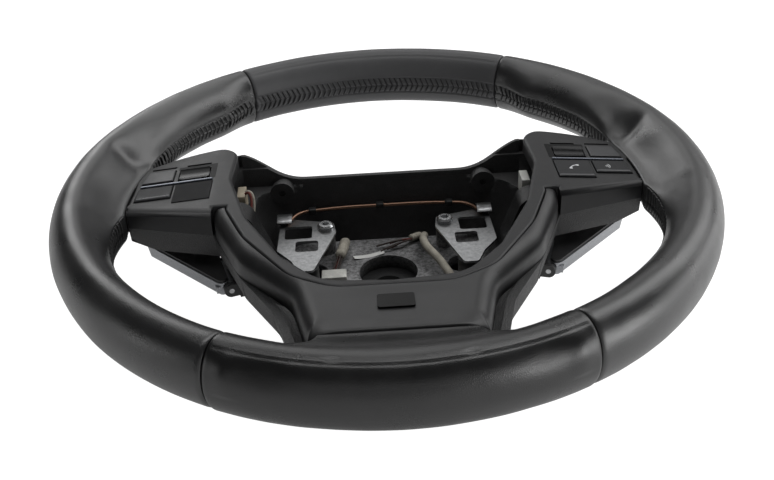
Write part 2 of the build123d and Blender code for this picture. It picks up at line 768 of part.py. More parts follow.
def make_pad():
    pad = extrude(resized(paddle_outline(), -pad_inset), pad_thickness)
    return Pos(0, 0, paddle_front - pad_thickness) * pad


def make_pin():
    length = barrel_length / 2 + barrel_gap + cheek_thickness
    return hinge_plane() * extrude(Circle(pin_radius), length, both=True)


def make_housing():
    """Hinge housing of the right paddle: a block on the bowl with two cheeks for the pin."""
    half = barrel_length / 2 + barrel_gap
    outside = half + cheek_thickness
    place = Pos(-housing_depth / 2 - barrel_radius - barrel_gap, 0)
    block = place * Rectangle(housing_depth, housing_height)
    body = hinge_plane() * extrude(block, outside, both=True)
    link = Pos(-barrel_radius, 0) * Rectangle(2 * barrel_radius + 2, 2 * barrel_radius)
    cheek = extrude(Circle(barrel_radius) + link, outside, both=True) - Box(large, large, 2 * half)
    body += hinge_plane() * cheek
    body -= hinge_plane() * extrude(Circle(pin_radius), outside, both=True)
    return body - bowl(0)


def make_paddle_switch():
    low = paddle_front + switch_play
    return standing_box((*switch_block, tray_floor - low), switch_place, low)


def make_pieces():
    armature = make_armature()
    both_sides = {
        "rim_grip": make_side_grip(armature),
        "airbag_bracket": make_bracket(),
        "bracket_screw": make_bracket_screw(),
        "key_upper": make_key(upper_key_box),
        "rocker": make_rocker(),
        "key_lower": make_key(lower_outer_box),
        "divider_bar": make_bar(),
        "switch_module": make_module(),
        "switch_board": make_board(),
        "dome_mat": make_mat(),
        "paddle_body": make_paddle(),
        "paddle_pad": make_pad(),
        "paddle_pin": make_pin(),
        "paddle_housing": make_housing(),
        "paddle_switch": make_paddle_switch(),
        "wall_plug": standing_box(plug_size, plug_place, tray_floor + cover_wall),
    }
    pieces = {
        "armature": armature,
        "rim_grip_top": make_top_grip(armature),
        "rim_grip_bottom": make_bottom_grip(armature),
        "rear_cover": make_rear_cover(),
        "switch_carrier": make_switch_carrier(),
        "lower_trim": make_lower_trim(),
        "trim_plate": make_plate(),
        "key_inner_right": make_key(lower_inner_box),
        "filler_left": mirror(make_filler(), Plane.YZ),
        "release_spring": make_spring(),
        "taped_sleeve": hub_lead(sleeve_path, sleeve_rise, sleeve_radius),
        "pale_lead": hub_lead(pale_path, pale_rise, pale_radius),
        "dark_lead": hub_lead(dark_path, dark_rise, dark_radius),
        "connector": standing_box(connector_size, connector_place, hub_front),
    }
    for name, piece in both_sides.items():
        pieces[f"{name}_right"] = piece
        pieces[f"{name}_left"] = mirror(piece, Plane.YZ)
    return pieces


os.makedirs("parts", exist_ok=True)
for name, piece in make_pieces().items():
    export_step(piece, f"parts/{name}.step")
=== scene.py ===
import bpy
import bmesh
import math
import numpy as np
from mathutils import Matrix, Vector


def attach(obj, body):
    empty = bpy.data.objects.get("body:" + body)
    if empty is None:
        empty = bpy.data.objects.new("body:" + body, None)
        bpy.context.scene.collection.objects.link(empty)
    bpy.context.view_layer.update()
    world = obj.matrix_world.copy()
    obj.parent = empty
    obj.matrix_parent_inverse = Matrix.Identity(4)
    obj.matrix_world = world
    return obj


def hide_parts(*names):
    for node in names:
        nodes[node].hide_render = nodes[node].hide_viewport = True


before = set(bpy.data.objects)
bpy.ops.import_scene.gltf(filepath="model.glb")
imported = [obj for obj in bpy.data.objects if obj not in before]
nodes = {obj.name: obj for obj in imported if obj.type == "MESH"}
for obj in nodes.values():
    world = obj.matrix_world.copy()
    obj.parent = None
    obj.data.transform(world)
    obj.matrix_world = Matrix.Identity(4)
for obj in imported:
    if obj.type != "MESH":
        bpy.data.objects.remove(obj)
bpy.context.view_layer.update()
mm = 0.001
white = (1, 1, 1, 1)
bothSides = (("Left", -1.0), ("Right", 1.0))


def addObject(name, data):
    made = bpy.data.objects.new(name, data)
    bpy.context.scene.collection.objects.link(made)
    return made


def feed(tree, socket, value):
    # a socket is linked to another node's socket or set to a constant
    if isinstance(value, bpy.types.NodeSocket):
        tree.links.new(value, socket)
    else:
        socket.default_value = value


def addNode(tree, kind, inputs, output=0, **settings):
    node = tree.nodes.new("ShaderNode" + kind)
    for setting, value in settings.items():
        setattr(node, setting, value)
    for name, value in inputs.items():
        feed(tree, node.inputs[name], value)
    return node.outputs[output]


class Recipe:
    # one material and the nodes that feed its shader
    def __init__(self, name, colour, roughness, metallic=0.0, specular=0.5):
        self.material = bpy.data.materials.new(name)
        self.material.use_nodes = True
        self.tree = self.material.node_tree
        self.shader = self.tree.nodes["Principled BSDF"]
        self.set("Base Color", (*colour, 1))
        self.set("Roughness", roughness)
        self.set("Metallic", metallic)
        self.set("Specular IOR Level", specular)
        self.coords = self.add("TexCoord", {}, "Object")

    def add(self, kind, inputs, output=0, **settings):
        return addNode(self.tree, kind, inputs, output, **settings)

    def set(self, socket, value):
        feed(self.tree, self.shader.inputs[socket], value)

    def noise(self, size, detail=3.0, roughness=0.6):
        inputs = {"Vector": self.coords, "Scale": 1 / size, "Detail": detail, "Roughness": roughness}
        return self.add("TexNoise", inputs, "Fac")

    def cells(self, size):
        inputs = {"Vector": self.coords, "Scale": 1 / size}
        return self.add("TexVoronoi", inputs, "Distance", feature="DISTANCE_TO_EDGE")

    def axis(self, name):
        return self.add("SeparateXYZ", {0: self.coords}, name)

    def spread(self, fac, low, high, start=0.0, end=1.0, kind="LINEAR"):
        inputs = {"Value": fac, "From Min": low, "From Max": high, "To Min": start, "To Max": end}
        return self.add("MapRange", inputs, "Result", interpolation_type=kind)

    def colours(self, fac, first, second):
        # mix of two colours, each a constant or another node's socket
        first, second = [value if isinstance(value, bpy.types.NodeSocket) else (*value, 1) for value in (first, second)]
        return self.add("Mix", {"Factor": fac, "A": first, "B": second}, "Result", data_type="RGBA")

    def math(self, kind, first, second):
        return self.add("Math", {0: first, 1: second}, operation=kind)

    def blend(self, first, second, share):
        return self.math("ADD", self.math("MULTIPLY", first, 1 - share), self.math("MULTIPLY", second, share))

    def bump(self, height, depth, strength=1.0, under=None):
        inputs = {"Strength": strength, "Distance": depth, "Height": height}
        if under:
            inputs["Normal"] = under
        return self.add("Bump", inputs)

    def wear(self, normal, roughness, colour):
        self.set("Normal", normal)
        self.set("Roughness", roughness)
        self.set("Base Color", colour)
        return self.material


# camera, floor and light

stage = {
    "cameraPlace": (-0.01173, -0.47995, 0.3566),
    "cameraRight": (0.99795, -0.04969, -0.04029),
    "cameraUp": (0.0606, 0.5316, 0.8448),
    "cameraAhead": (0.02056, 0.84553, -0.53353),
    "lens": 43.91,
    "sensor": 36.0,
    "aim": (0, 0, 0.09),  # where the lamps point
    "floorSize": 6.0,
    "floorColour": (0.72, 0.72, 0.72),
    "worldLight": 0.06,
    "floorShare": 0.65,  # how much of the floor is plain white paper to the camera
    "floorWhite": 1.42,
    "floorGlow": (0.15, 0.45),  # light that the paper gives back to the object, on the left and on the right
    "floorTurn": (-0.25, 0.45),
}


def makeCamera():
    data = bpy.data.cameras.new("photoCamera")
    data.lens = stage["lens"]
    data.sensor_width = stage["sensor"]
    camera = addObject("photoCamera", data)
    back = [-value for value in stage["cameraAhead"]]
    axes = Matrix((stage["cameraRight"], stage["cameraUp"], back)).transposed()
    camera.matrix_world = Matrix.Translation(stage["cameraPlace"]) @ axes.to_4x4()
    bpy.context.scene.camera = camera


lamps = {
    # name: place, width, height, glow; each is a soft box that faces the hub
    "rightBox": ((2.2, -0.1, 0.25), 2.6, 0.5, 2.4),
    "rightFrontBox": ((1.8, -1.4, 0.25), 1.6, 0.5, 6.2),
    "leftBox": ((-2.2, -0.5, 0.3), 1.0, 0.6, 1.2),
    "farLeftBox": ((-1.0, 2.2, 1.1), 0.9, 1.4, 2.5),
    "farRightBox": ((1.2, 2.2, 1.2), 1.2, 1.2, 0.7),
    "farMidBox": ((0.0, 2.4, 1.5), 1.0, 1.0, 1.3),
    "highFarBox": ((-0.25, 1.5, 2.0), 1.8, 0.8, 1.2),
    "highRightBox": ((1.5, 0.9, 1.7), 1.3, 2.6, 2.4),
    "frontBox": ((0.0, -2.4, 0.6), 3.4, 0.4, 0.8),
    "overheadBox": ((0.0, 0.06, 1.8), 1.7, 0.6, 2.6),
}


def makeLamps():
    for name, (place, width, height, glow) in lamps.items():
        data = bpy.data.lights.new(name, "AREA")
        data.shape = "RECTANGLE"
        data.size, data.size_y = width, height
        data.energy = glow * math.pi * width * height
        lamp = addObject(name, data)
        lamp.visible_camera = False
        lamp.location = place
        lamp.rotation_euler = (Vector(stage["aim"]) - Vector(place)).to_track_quat("-Z", "Y").to_euler()


def makeWorld():
    world = bpy.data.worlds.new("studio")
    bpy.context.scene.world = world
    world.use_nodes = True
    tree = world.node_tree
    tree.nodes.clear()
    light = addNode(tree, "Background", {"Color": white, "Strength": stage["worldLight"]})
    seen = addNode(tree, "Background", {"Color": white})
    toCamera = addNode(tree, "LightPath", {}, "Is Camera Ray")
    mixed = addNode(tree, "MixShader", {0: toCamera, 1: light, 2: seen})
    feed(tree, tree.nodes.new("ShaderNodeOutputWorld").inputs[0], mixed)


def makeFloor():
    half = stage["floorSize"] / 2
    mesh = bpy.data.meshes.new("floor")
    corners = [(-half, -half, 0), (half, -half, 0), (half, half, 0), (-half, half, 0)]
    mesh.from_pydata(corners, [], [(0, 1, 2, 3)])
    recipe = Recipe("floorPaper", stage["floorColour"], 0.9, 0.0, 0.1)
    recipe.set("Emission Color", white)
    recipe.set("Emission Strength",
               recipe.spread(recipe.axis("X"), *stage["floorTurn"], *stage["floorGlow"], "SMOOTHSTEP"))
    paper = recipe.add("Emission", {"Strength": stage["floorWhite"]})
    share = recipe.math("MULTIPLY", recipe.add("LightPath", {}, "Is Camera Ray"), stage["floorShare"])
    mixed = recipe.add("MixShader", {0: share, 1: recipe.shader.outputs[0], 2: paper})
    feed(recipe.tree, recipe.tree.nodes["Material Output"].inputs["Surface"], mixed)
    mesh.materials.append(recipe.material)
    addObject("floor", mesh)


bpy.context.scene.view_settings.view_transform = "Standard"
makeCamera()
makeLamps()
makeWorld()
makeFloor()
print("stage ready")

# materials: each takes its numbers from one dictionary and reads Object coordinates

leatherLitAndShadedLook = {
    # grip: colour, worn colour, roughness from smooth to dull, gloss, share of scuffs; one leather in three copies, the
    # top grip's colours painted lighter as painted light and the bottom grip's darker as painted shade
    "top": ((0.085, 0.085, 0.0875), (0.1, 0.1, 0.103), (0.34, 0.46), 0.28, 0.0),
    "side": ((0.012, 0.012, 0.0125), (0.02, 0.02, 0.0205), (0.25, 0.37), 0.85, 0.0),
    "bottom": ((0.004, 0.004, 0.0043), (0.009, 0.009, 0.0093), (0.24, 0.36), 0.7, 0.5),
}
leatherGrain = {
    "patch": 28 * mm,
    "fine": 1.6 * mm,
    "speck": 2.2 * mm,
    "speckPatch": 17 * mm,
    "size": 0.9 * mm,
    "depth": 0.05 * mm,
    "pore": 0.35 * mm,
    "scuff": (0.03, 0.03, 0.031),
}


def makeLeather(grip):
    colour, worn, dull, gloss, scuffed = leatherLitAndShadedLook[grip]
    recipe = Recipe("blackLeatherLitAndShaded." + grip, colour, 0.42, 0.0, gloss)
    patches = recipe.noise(leatherGrain["patch"], 4.0)
    fine = recipe.noise(leatherGrain["fine"])
    specks = recipe.spread(recipe.noise(leatherGrain["speck"], 6.0, 0.75), 0.6, 0.72, 0.0, scuffed)
    places = recipe.spread(recipe.noise(leatherGrain["speckPatch"]), 0.45, 0.7)
    scuffs = recipe.math("MULTIPLY", specks, places)
    tone = recipe.colours(recipe.spread(patches, 0.35, 0.75), colour, worn)
    tone = recipe.colours(scuffs, tone, leatherGrain["scuff"])
    sheen = recipe.spread(recipe.math("ADD", patches, recipe.math("MULTIPLY", fine, 0.25)), 0.35, 0.9, *dull)
    sheen = recipe.math("ADD", sheen, recipe.math("MULTIPLY", scuffs, 0.15))
    grain = recipe.bump(recipe.spread(recipe.cells(leatherGrain["size"]), 0.0, 0.25), leatherGrain["depth"], 0.55)
    pores = recipe.bump(recipe.noise(leatherGrain["pore"], 2.0, 0.5), leatherGrain["depth"] * 0.5, 0.4, grain)
    return recipe.wear(pores, sheen, tone)


plasticLook = {
    # name: colour, roughness, gloss, grain size and depth in millimetres
    "grainedCover": ((0.03, 0.03, 0.0305), 0.48, 0.5, 1.0, 0.2),
    "panelPlastic": ((0.0125, 0.0125, 0.0135), 0.4, 0.36, 0.35, 0.012),
    "trimLacquer": ((0.0115, 0.0115, 0.0122), 0.4, 0.5, 0.5, 0.012),
    "keyPlastic": ((0.03, 0.0305, 0.033), 0.42, 0.55, 0.3, 0.01),
    "lowKeyPlastic": ((0.016, 0.0165, 0.018), 0.5, 0.28, 0.3, 0.01),
    "fillerPlastic": ((0.008, 0.008, 0.009), 0.6, 0.14, 0.4, 0.012),
    # painted highlight: lighter than the keys, for the beads on the keys' lower facets
    "beadPlastic": ((0.06, 0.061, 0.065), 0.3, 0.5, 0.3, 0.005),
    # painted shade: near black, for the flat patches round the rockers
    "hollowBlack": ((0.004, 0.004, 0.0045), 0.45, 0.12, 0.5, 0.01),
    "palePlug": ((0.62, 0.62, 0.58), 0.5, 0.5, 0.5, 0.02),
    "glossBlack": ((0.004, 0.004, 0.0045), 0.22, 0.2, 0.6, 0.002),
    "plateBlack": ((0.003, 0.003, 0.0033), 0.34, 0.15, 0.6, 0.004),
    "paddleBlack": ((0.025, 0.025, 0.026), 0.4, 0.5, 0.4, 0.01),
    "moduleBlack": ((0.012, 0.012, 0.012), 0.5, 0.5, 0.5, 0.02),
    "matRubber": ((0.02, 0.02, 0.02), 0.7, 0.5, 0.8, 0.02),
    "boardGreen": ((0.02, 0.09, 0.045), 0.35, 0.5, 1.5, 0.01),
    "tanPlug": ((0.36, 0.31, 0.23), 0.5, 0.5, 0.5, 0.02),
    "paleConnector": ((0.46, 0.46, 0.43), 0.5, 0.5, 0.5, 0.02),
}


def makePlastic(name):
    colour, roughness, specular, size, depth = plasticLook[name]
    recipe = Recipe(name, colour, roughness, 0.0, specular)
    dust = recipe.noise(9 * mm, 5.0, 0.65)
    dusty = [min(1.0, channel * 1.7 + 0.002) for channel in colour]
    tone = recipe.colours(recipe.spread(dust, 0.5, 0.85), colour, dusty)
    gloss = recipe.spread(dust, 0.3, 0.8, roughness - 0.04, roughness + 0.1)
    grain = recipe.bump(recipe.spread(recipe.cells(size * mm), 0.0, 0.3), depth * mm, 0.7)
    return recipe.wear(grain, gloss, tone)


metalLook = {
    # name: colour, roughness, speckle size and depth in millimetres
    "zincPlate": ((0.34, 0.345, 0.35), 0.34, 2.4, 0.02),
    "brightSteel": ((0.62, 0.63, 0.64), 0.22, 1.2, 0.01),
    "paddleSilver": ((0.4, 0.41, 0.43), 0.36, 0.6, 0.01),
    "barSilver": ((0.2, 0.215, 0.25), 0.28, 0.6, 0.005),
    "copperWire": ((0.3, 0.18, 0.125), 0.34, 1.2, 0.01),
}


def makeMetal(name):
    colour, roughness, size, depth = metalLook[name]
    recipe = Recipe(name, colour, roughness, 0.92)
    spots = recipe.noise(size * mm, 4.0)
    dull = [channel * 0.62 for channel in colour]
    tone = recipe.colours(recipe.spread(spots, 0.35, 0.75), colour, dull)
    gloss = recipe.spread(spots, 0.3, 0.8, roughness - 0.05, roughness + 0.14)
    return recipe.wear(recipe.bump(spots, depth * mm, 0.6), gloss, tone)


castLook = {
    "dark": (0.026, 0.026, 0.027),
    "bright": (0.4, 0.4, 0.405),
    "blackAndHoleShade": (0.009, 0.009, 0.0095),
    "spot": 2.2 * mm,
    "spotDepth": 0.35 * mm,
    "blotch": 14 * mm,
    "arms": (36 * mm, 44 * mm),  # heights over which the arms and legs turn black, going up
    "hole": (30 * mm, 22 * mm),  # and over which painted shade darkens the hub's hole towards its floor
}


def makeCasting():
    recipe = Recipe("castAlloy", (0.09, 0.09, 0.092), 0.5, 0.2)
    spots = recipe.noise(castLook["spot"], 6.0, 0.72)
    mixed = recipe.blend(spots, recipe.noise(castLook["blotch"]), 0.3)
    tone = recipe.colours(recipe.spread(mixed, 0.36, 0.66), castLook["dark"], castLook["bright"])
    gloss = recipe.spread(mixed, 0.3, 0.7, 0.6, 0.36)
    height = recipe.axis("Z")
    # the arms and legs turn black going up, and the hub's hole is darkened towards its floor as painted shade
    blackAndHoleShadeShare = recipe.math("MAXIMUM", recipe.spread(height, *castLook["arms"]), recipe.spread(height, *castLook["hole"]))
    tone = recipe.colours(blackAndHoleShadeShare, tone, castLook["blackAndHoleShade"])
    return recipe.wear(recipe.bump(spots, castLook["spotDepth"], 0.8), gloss, tone)


tapeLook = {
    # name: colour, darker colour between the fibres
    "beigeTape": ((0.5, 0.47, 0.4), (0.26, 0.24, 0.2)),
    "blackThread": ((0.03, 0.03, 0.031), (0.016, 0.016, 0.0165)),
    "darkWire": ((0.05, 0.032, 0.026), (0.02, 0.014, 0.012)),
    "redWire": ((0.2, 0.035, 0.025), (0.09, 0.018, 0.014)),
    "whitePaper": ((0.74, 0.74, 0.72), (0.6, 0.6, 0.58)),
    "signPaint": ((0.72, 0.73, 0.74), (0.6, 0.61, 0.62)),
}


def makeTape(name):
    colour, dark = tapeLook[name]
    recipe = Recipe(name, colour, 0.75)
    weave = recipe.noise(0.6 * mm)
    mixed = recipe.blend(weave, recipe.noise(6 * mm), 0.5)
    tone = recipe.colours(recipe.spread(mixed, 0.35, 0.7), dark, colour)
    return recipe.wear(recipe.bump(weave, 0.1 * mm, 0.7), 0.75, tone)


materials = {"castAlloy": makeCasting()}
materials.update({"blackLeatherLitAndShaded." + grip: makeLeather(grip) for grip in leatherLitAndShadedLook})
for look, make in ((plasticLook, makePlastic), (metalLook, makeMetal), (tapeLook, makeTape)):
    materials.update({name: make(name) for name in look})
print("materials ready")

nodeLook = {
    # start of a node's name: material, rounded edge in millimetres or none
    "armature": ("castAlloy", 0.6), "rear_cover": ("grainedCover", 0.7), "paddle_housing": ("grainedCover", 0.8),
    "switch_carrier": ("panelPlastic", 0), "filler_left": ("fillerPlastic", 0.4), "lower_trim": ("trimLacquer", 0),
    "trim_plate": ("plateBlack", 0.3), "rocker": ("glossBlack", 0.7), "divider_bar": ("barSilver", 0.35),
    "key_upper": ("keyPlastic", 0), "key_lower": ("lowKeyPlastic", 0), "key_inner": ("lowKeyPlastic", 0),
    "airbag_bracket": ("zincPlate", 0.25), "bracket_screw": ("brightSteel", 0), "release_spring": ("copperWire", 0),
    "paddle_pin": ("brightSteel", 0), "paddle_body": ("paddleSilver", 1.0), "paddle_pad": ("paddleBlack", 0.6),
    "paddle_switch": ("moduleBlack", 0.4), "switch_module": ("moduleBlack", 0), "switch_board": ("boardGreen", 0),
    "dome_mat": ("matRubber", 0), "taped_sleeve": ("beigeTape", 0), "pale_lead": ("beigeTape", 0),
    "dark_lead": ("darkWire", 0), "connector": ("paleConnector", 0.5), "wall_plug_left": ("tanPlug", 0.5),
    "wall_plug_right": ("palePlug", 0.5), "rim_grip": ("blackLeatherLitAndShaded.side", 0),
}


def roundEdges(node, width):
    # the node's own corners are welded, then rounded, and flat faces keep their shading
    node.modifiers.new("weld", "WELD").merge_threshold = 0.005 * mm
    bevel = node.modifiers.new("round", "BEVEL")
    bevel.width = width * mm
    bevel.segments = 2
    bevel.limit_method = "ANGLE"
    bevel.angle_limit = math.radians(38)
    node.modifiers.new("shading", "WEIGHTED_NORMAL")


def dressNodes():
    for name, node in nodes.items():
        for start, (finish, width) in nodeLook.items():
            if name.startswith(start):
                node.data.materials.clear()
                node.data.materials.append(materials[finish])
                if width:
                    roundEdges(node, width)


dressNodes()
print("nodes dressed")

# mesh helpers: grids of two parameters become quads


def circle(count):
    return np.linspace(0, 2 * np.pi, count, endpoint=False)


def crossed(*lines):
    return np.meshgrid(*lines, indexing="ij")


def gridFaces(rows, columns, closeRows=False, closeColumns=False):
    # quads between neighbouring rows and columns of a grid of points
    r, c = crossed(np.arange(rows - (not closeRows)), np.arange(columns - (not closeColumns)))
    r2, c2 = (r + 1) % rows, (c + 1) % columns
    quads = np.stack([r * columns + c, r2 * columns + c, r2 * columns + c2, r * columns + c2], -1)
    return quads.reshape(-1, 4)


def joined(grids):
    # points and quads of several grids as one piece
    points = [grid.reshape(-1, 3) for grid, quads in grids]
    starts = np.cumsum([0] + [len(grid) for grid in points])
    return np.concatenate(points), np.concatenate([quads + start for (grid, quads), start in zip(grids, starts)])


def faced(faces, side):
    # faces of a right-hand piece, turned over on the left
    return faces if side > 0 else faces[:, ::-1]


def newPiece(name, points, faces, finish, body="wheel"):
    # points in millimetres, faces as an array of quads
    mesh = bpy.data.meshes.new(name)
    mesh.from_pydata((np.asarray(points, float).reshape(-1, 3) * mm).tolist(), [], faces.tolist())
    mesh.shade_smooth()
    mesh.materials.append(materials[finish])
    mesh.validate()
    mesh.update()
    piece = addObject(name, mesh)
    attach(piece, body)
    return piece


def ease(part):
    part = np.clip(part, 0.0, 1.0)
    return part * part * (3 - 2 * part)


# leather of the rim

rim = {
    "coreRadius": 173.8,
    "height": 88.0,
    "half": 14.2,  # half section along the radius
    "depth": 19.5,  # half section along the axis
    "seamTop": 58.5,  # degrees from the horizontal
    "seamBottom": 27.75,  # degrees from 6 o'clock
    "seamGap": 0.4,
    "thumbReach": 23.5,
    "thumb": (32.0, 47.0),
    "flare": (-5.0, 14.0),  # leather root of a side spoke
    "flareRun": 32.0,
    "flarePower": 2.5,
    "rootReach": 24.8,
    "rootLip": 1.5,
    "tongueEnd": 140.0,
    "tongueHalf": 14.6,
    "tongueFoot": 17.2,
    "tongueLip": 6.5,
    "fullness": 3.0,
    "lipEdge": (0.95, 0.05),  # where the lip's round end starts, as a share of the reach, and how long it is
    "rollRadius": 2.4,  # leather edge rolled into a seam
    "rollDepth": 1.5,
    "rollSteps": (0.0, 0.02, 0.08, 0.18, 0.32, 0.5, 0.72),
    "capSize": 0.55,  # of the inner ring that closes an end
    "waves": ((0.3, 70.0), (0.1, 19.0)),  # height and length of the leather's slow waves
    "angleStep": 0.3,
    "sides": 110,
    "bandSides": 90,  # more points round the sewn band
    "bandReach": 24.0,  # degrees to each side of it
}
sewing = {
    "phase": 187.0,  # where the sewn band lies on the section
    "pitch": 3.6,  # along the rim
    "half": 5.4,  # from the middle of the band to its holes
    "slant": 0.62,  # of a pitch, from the middle to a hole
    "thread": 0.52,
    "sides": 6,  # of a thread, and its steps
    "steps": 7,
    "sink": 0.42,  # of a thread's ends
    "pucker": 0.7,
    "rowDepth": 0.45,
    "rowWidth": 0.16,
    "middleDepth": 0.5,
    "middleWidth": 0.8,
    "bareRoot": (-7.0, 19.0),  # no sewing on a spoke's root
}


def sideReach(angle):
    # inner reach and fullness of a side grip, by the angle from the horizontal
    low, high = rim["flare"]
    start, end = rim["thumb"]
    rise = np.clip((angle - (low - rim["flareRun"])) / rim["flareRun"], 0, 1) ** rim["flarePower"]
    fall = ease((angle - high) / (start - high))
    leave = ease((angle - end) / (rim["seamTop"] - end))
    root = rim["half"] + (rim["rootReach"] - rim["half"]) * rise
    reach = np.where(angle < high, root, rim["rootReach"] + (rim["thumbReach"] - rim["rootReach"]) * fall)
    reach = np.where(angle > end, rim["thumbReach"] + (rim["half"] - rim["thumbReach"]) * leave, reach)
    full = np.where(angle < high, rise, 1 - fall)
    return reach, full, rim["rootLip"]


def bottomReach(run):
    # inner reach and fullness of the bottom grip, by the angle from 6 o'clock
    run = np.abs(run)
    flat = rim["coreRadius"] - rim["tongueEnd"] / np.cos(np.radians(np.minimum(run, rim["tongueHalf"])))
    full = np.clip((rim["tongueFoot"] - run) / (rim["tongueFoot"] - rim["tongueHalf"]), 0, 1)
    return rim["half"] + (flat - rim["half"]) * full, full, rim["tongueLip"]


def topReach(angle):
    return rim["half"], 0.0, rim["rootLip"]


def rimPoint(angle, phase, reach, full, lip):
    # section point: outer half ellipse; inner front an ellipse or a cosine fall to a lip; inner rear squarer
    power = 2 / (2 + rim["fullness"] * full)
    along, up = np.cos(phase), np.sin(phase)
    part = np.abs(along)
    start, run = rim["lipEdge"]
    edge = np.sqrt(np.maximum(0.0, 1 - (np.maximum(0.0, part - start) / run) ** 2))
    gentle = (lip + (rim["depth"] - lip) * (1 + np.cos(np.pi * part)) / 2) * edge
    front = rim["depth"] * up + (gentle - rim["depth"] * up) * full
    rear = -rim["depth"] * np.abs(up) ** power
    height = np.where(along > 0, rim["depth"] * up, np.where(up > 0, front, rear))
    inner = np.where(up > 0, part, part ** power)
    radius = rim["coreRadius"] + np.where(along > 0, rim["half"] * along, -reach * inner)
    turn = np.radians(angle)
    return np.stack([radius * np.cos(turn), radius * np.sin(turn), rim["height"] + height], -1)


def unit(vectors):
    return vectors / np.maximum(np.linalg.norm(vectors, axis=-1, keepdims=True), 1e-9)


def gridNormals(points):
    # outward direction of each grid point from its neighbours along both parameters
    around = np.roll(points, -1, axis=1) - np.roll(points, 1, axis=1)
    return unit(np.cross(np.gradient(points, axis=0), around))


def leatherWaves(points, size, seed):
    # slow waves in the leather: a few sine waves in random directions
    random = np.random.default_rng(seed)
    total, count = np.zeros(points.shape[:-1]), 7
    for direction in random.normal(size=(count, 3)):
        direction = direction / np.linalg.norm(direction) / size * random.uniform(0.6, 1.6)
        total += np.sin(points @ direction * 2 * np.pi + random.uniform(0, 6.28))
    return total / count


def sewnShare(fromSpoke):
    # one along the sewn stretches, none on a spoke's root
    low, high = sewing["bareRoot"]
    return 1 - ease((fromSpoke - low) / 2.0) * ease((high - fromSpoke) / 2.0)


def sewnRelief(angle, phase, reach, sewn):
    # leather pulled down under slanted threads, along the middle of the band and at its two rows of holes
    across = (phase - math.radians(sewing["phase"])) * rim["depth"]
    along = np.radians(angle) * (rim["coreRadius"] - reach)
    off = np.abs(across) / sewing["half"]
    ridges = np.cos(2 * np.pi * (along / sewing["pitch"] - sewing["slant"] * off))
    inside = ease((1.25 - off) / 0.3)
    holes = 0.65 + 0.35 * np.cos(2 * np.pi * along / sewing["pitch"])
    rows = np.exp(-(((off - 1.05) / sewing["rowWidth"]) ** 2)) * holes
    middle = np.exp(-((across / sewing["middleWidth"]) ** 2))
    pulled = sewing["pucker"] * (0.5 + 0.5 * ridges) * inside
    return -sewn * (pulled + sewing["rowDepth"] * rows + sewing["middleDepth"] * middle)


leatherForms = {
    # along the rim from a spoke or from 6 o'clock, round the section, reach of each, lift
    "side": [(15.4, 124.0, 2.4, 26.0, -2.2), (24.8, 146.0, 5.0, 17.0, 1.5), (8.5, 116.0, 4.0, 22.0, 0.7),
             (-9.0, 100.0, 3.0, 30.0, -0.5)],
    "bottom": [(24.4, 32.0, 1.7, 30.0, 1.1), (19.0, 40.0, 2.6, 24.0, -0.5), (9.5, 78.0, 1.0, 4.0, -0.5)],
    # phase, half width and lift of a long folded line, then the same of the hollow beside it
    "topLine": [(115.0, 1.3, 0.35), (119.0, 2.2, -0.25)],
    "bottomLine": [(73.0, 1.5, 0.35), (69.0, 2.5, -0.3)],
}


def formLift(along, phase, name):
    # soft dents and bulges of the pulled leather, and the folded lines along it
    lift = np.zeros_like(along)
    turn = np.degrees(phase) % 360
    for place, bend, reach, bendReach, height in leatherForms.get(name, ()):
        lift += height * np.exp(-(((along - place) / reach) ** 2) - ((turn - bend) / bendReach) ** 2)
    for bend, half, height in leatherForms.get(name + "Line", ()):
        lift += height * np.exp(-(((turn - bend) / half) ** 2))
    return lift


def makeThreads(name, low, high, shapeAt, stretches):
    # each thread runs from the band's middle to a hole, as a tube on the leather with its ends pulled in
    sides, steps = sewing["sides"], sewing["steps"]
    starts = []
    for start, end in stretches:
        count = int(math.radians(end - start) * (rim["coreRadius"] - rim["half"]) / sewing["pitch"])
        starts.append(np.linspace(start, end, max(count, 2)))
    angles = np.concatenate(starts)
    angles = angles[(angles > low + 0.8) & (angles < high - 1.5)]
    base, way, run = crossed(angles, [-1.0, 1.0], np.linspace(0.06, 1.0, steps))
    pitchAngle = math.degrees(sewing["pitch"] / (rim["coreRadius"] - rim["half"]))
    angle = base + run * sewing["slant"] * pitchAngle
    phase = math.radians(sewing["phase"]) + way * run * sewing["half"] / rim["depth"]

    def surface(turn, bend):
        return rimPoint(turn, bend, *shapeAt(turn))

    small = 0.02
    normal = unit(np.cross(surface(angle + small, phase) - surface(angle, phase),
                           surface(angle, phase + small) - surface(angle, phase)))
    lift = sewing["sink"] * np.sin(np.pi * run) ** 0.5 - sewing["sink"]
    centre = surface(angle, phase) + normal * lift[..., None]
    ahead = unit(np.gradient(centre, axis=2))
    across = unit(np.cross(ahead, normal))
    turn = circle(sides)
    taper = sewing["thread"] * (0.55 + 0.45 * np.sin(np.pi * run) ** 0.4)
    ring = across[..., None, :] * np.cos(turn)[:, None] + normal[..., None, :] * np.sin(turn)[:, None]
    points = centre[..., None, :] + ring * taper[..., None, None]
    tubes = points.reshape(-1, steps, sides, 3)
    faces = gridFaces(steps, sides, closeColumns=True)
    newPiece(name, *joined([(tube, faces) for tube in tubes]), "blackThread")


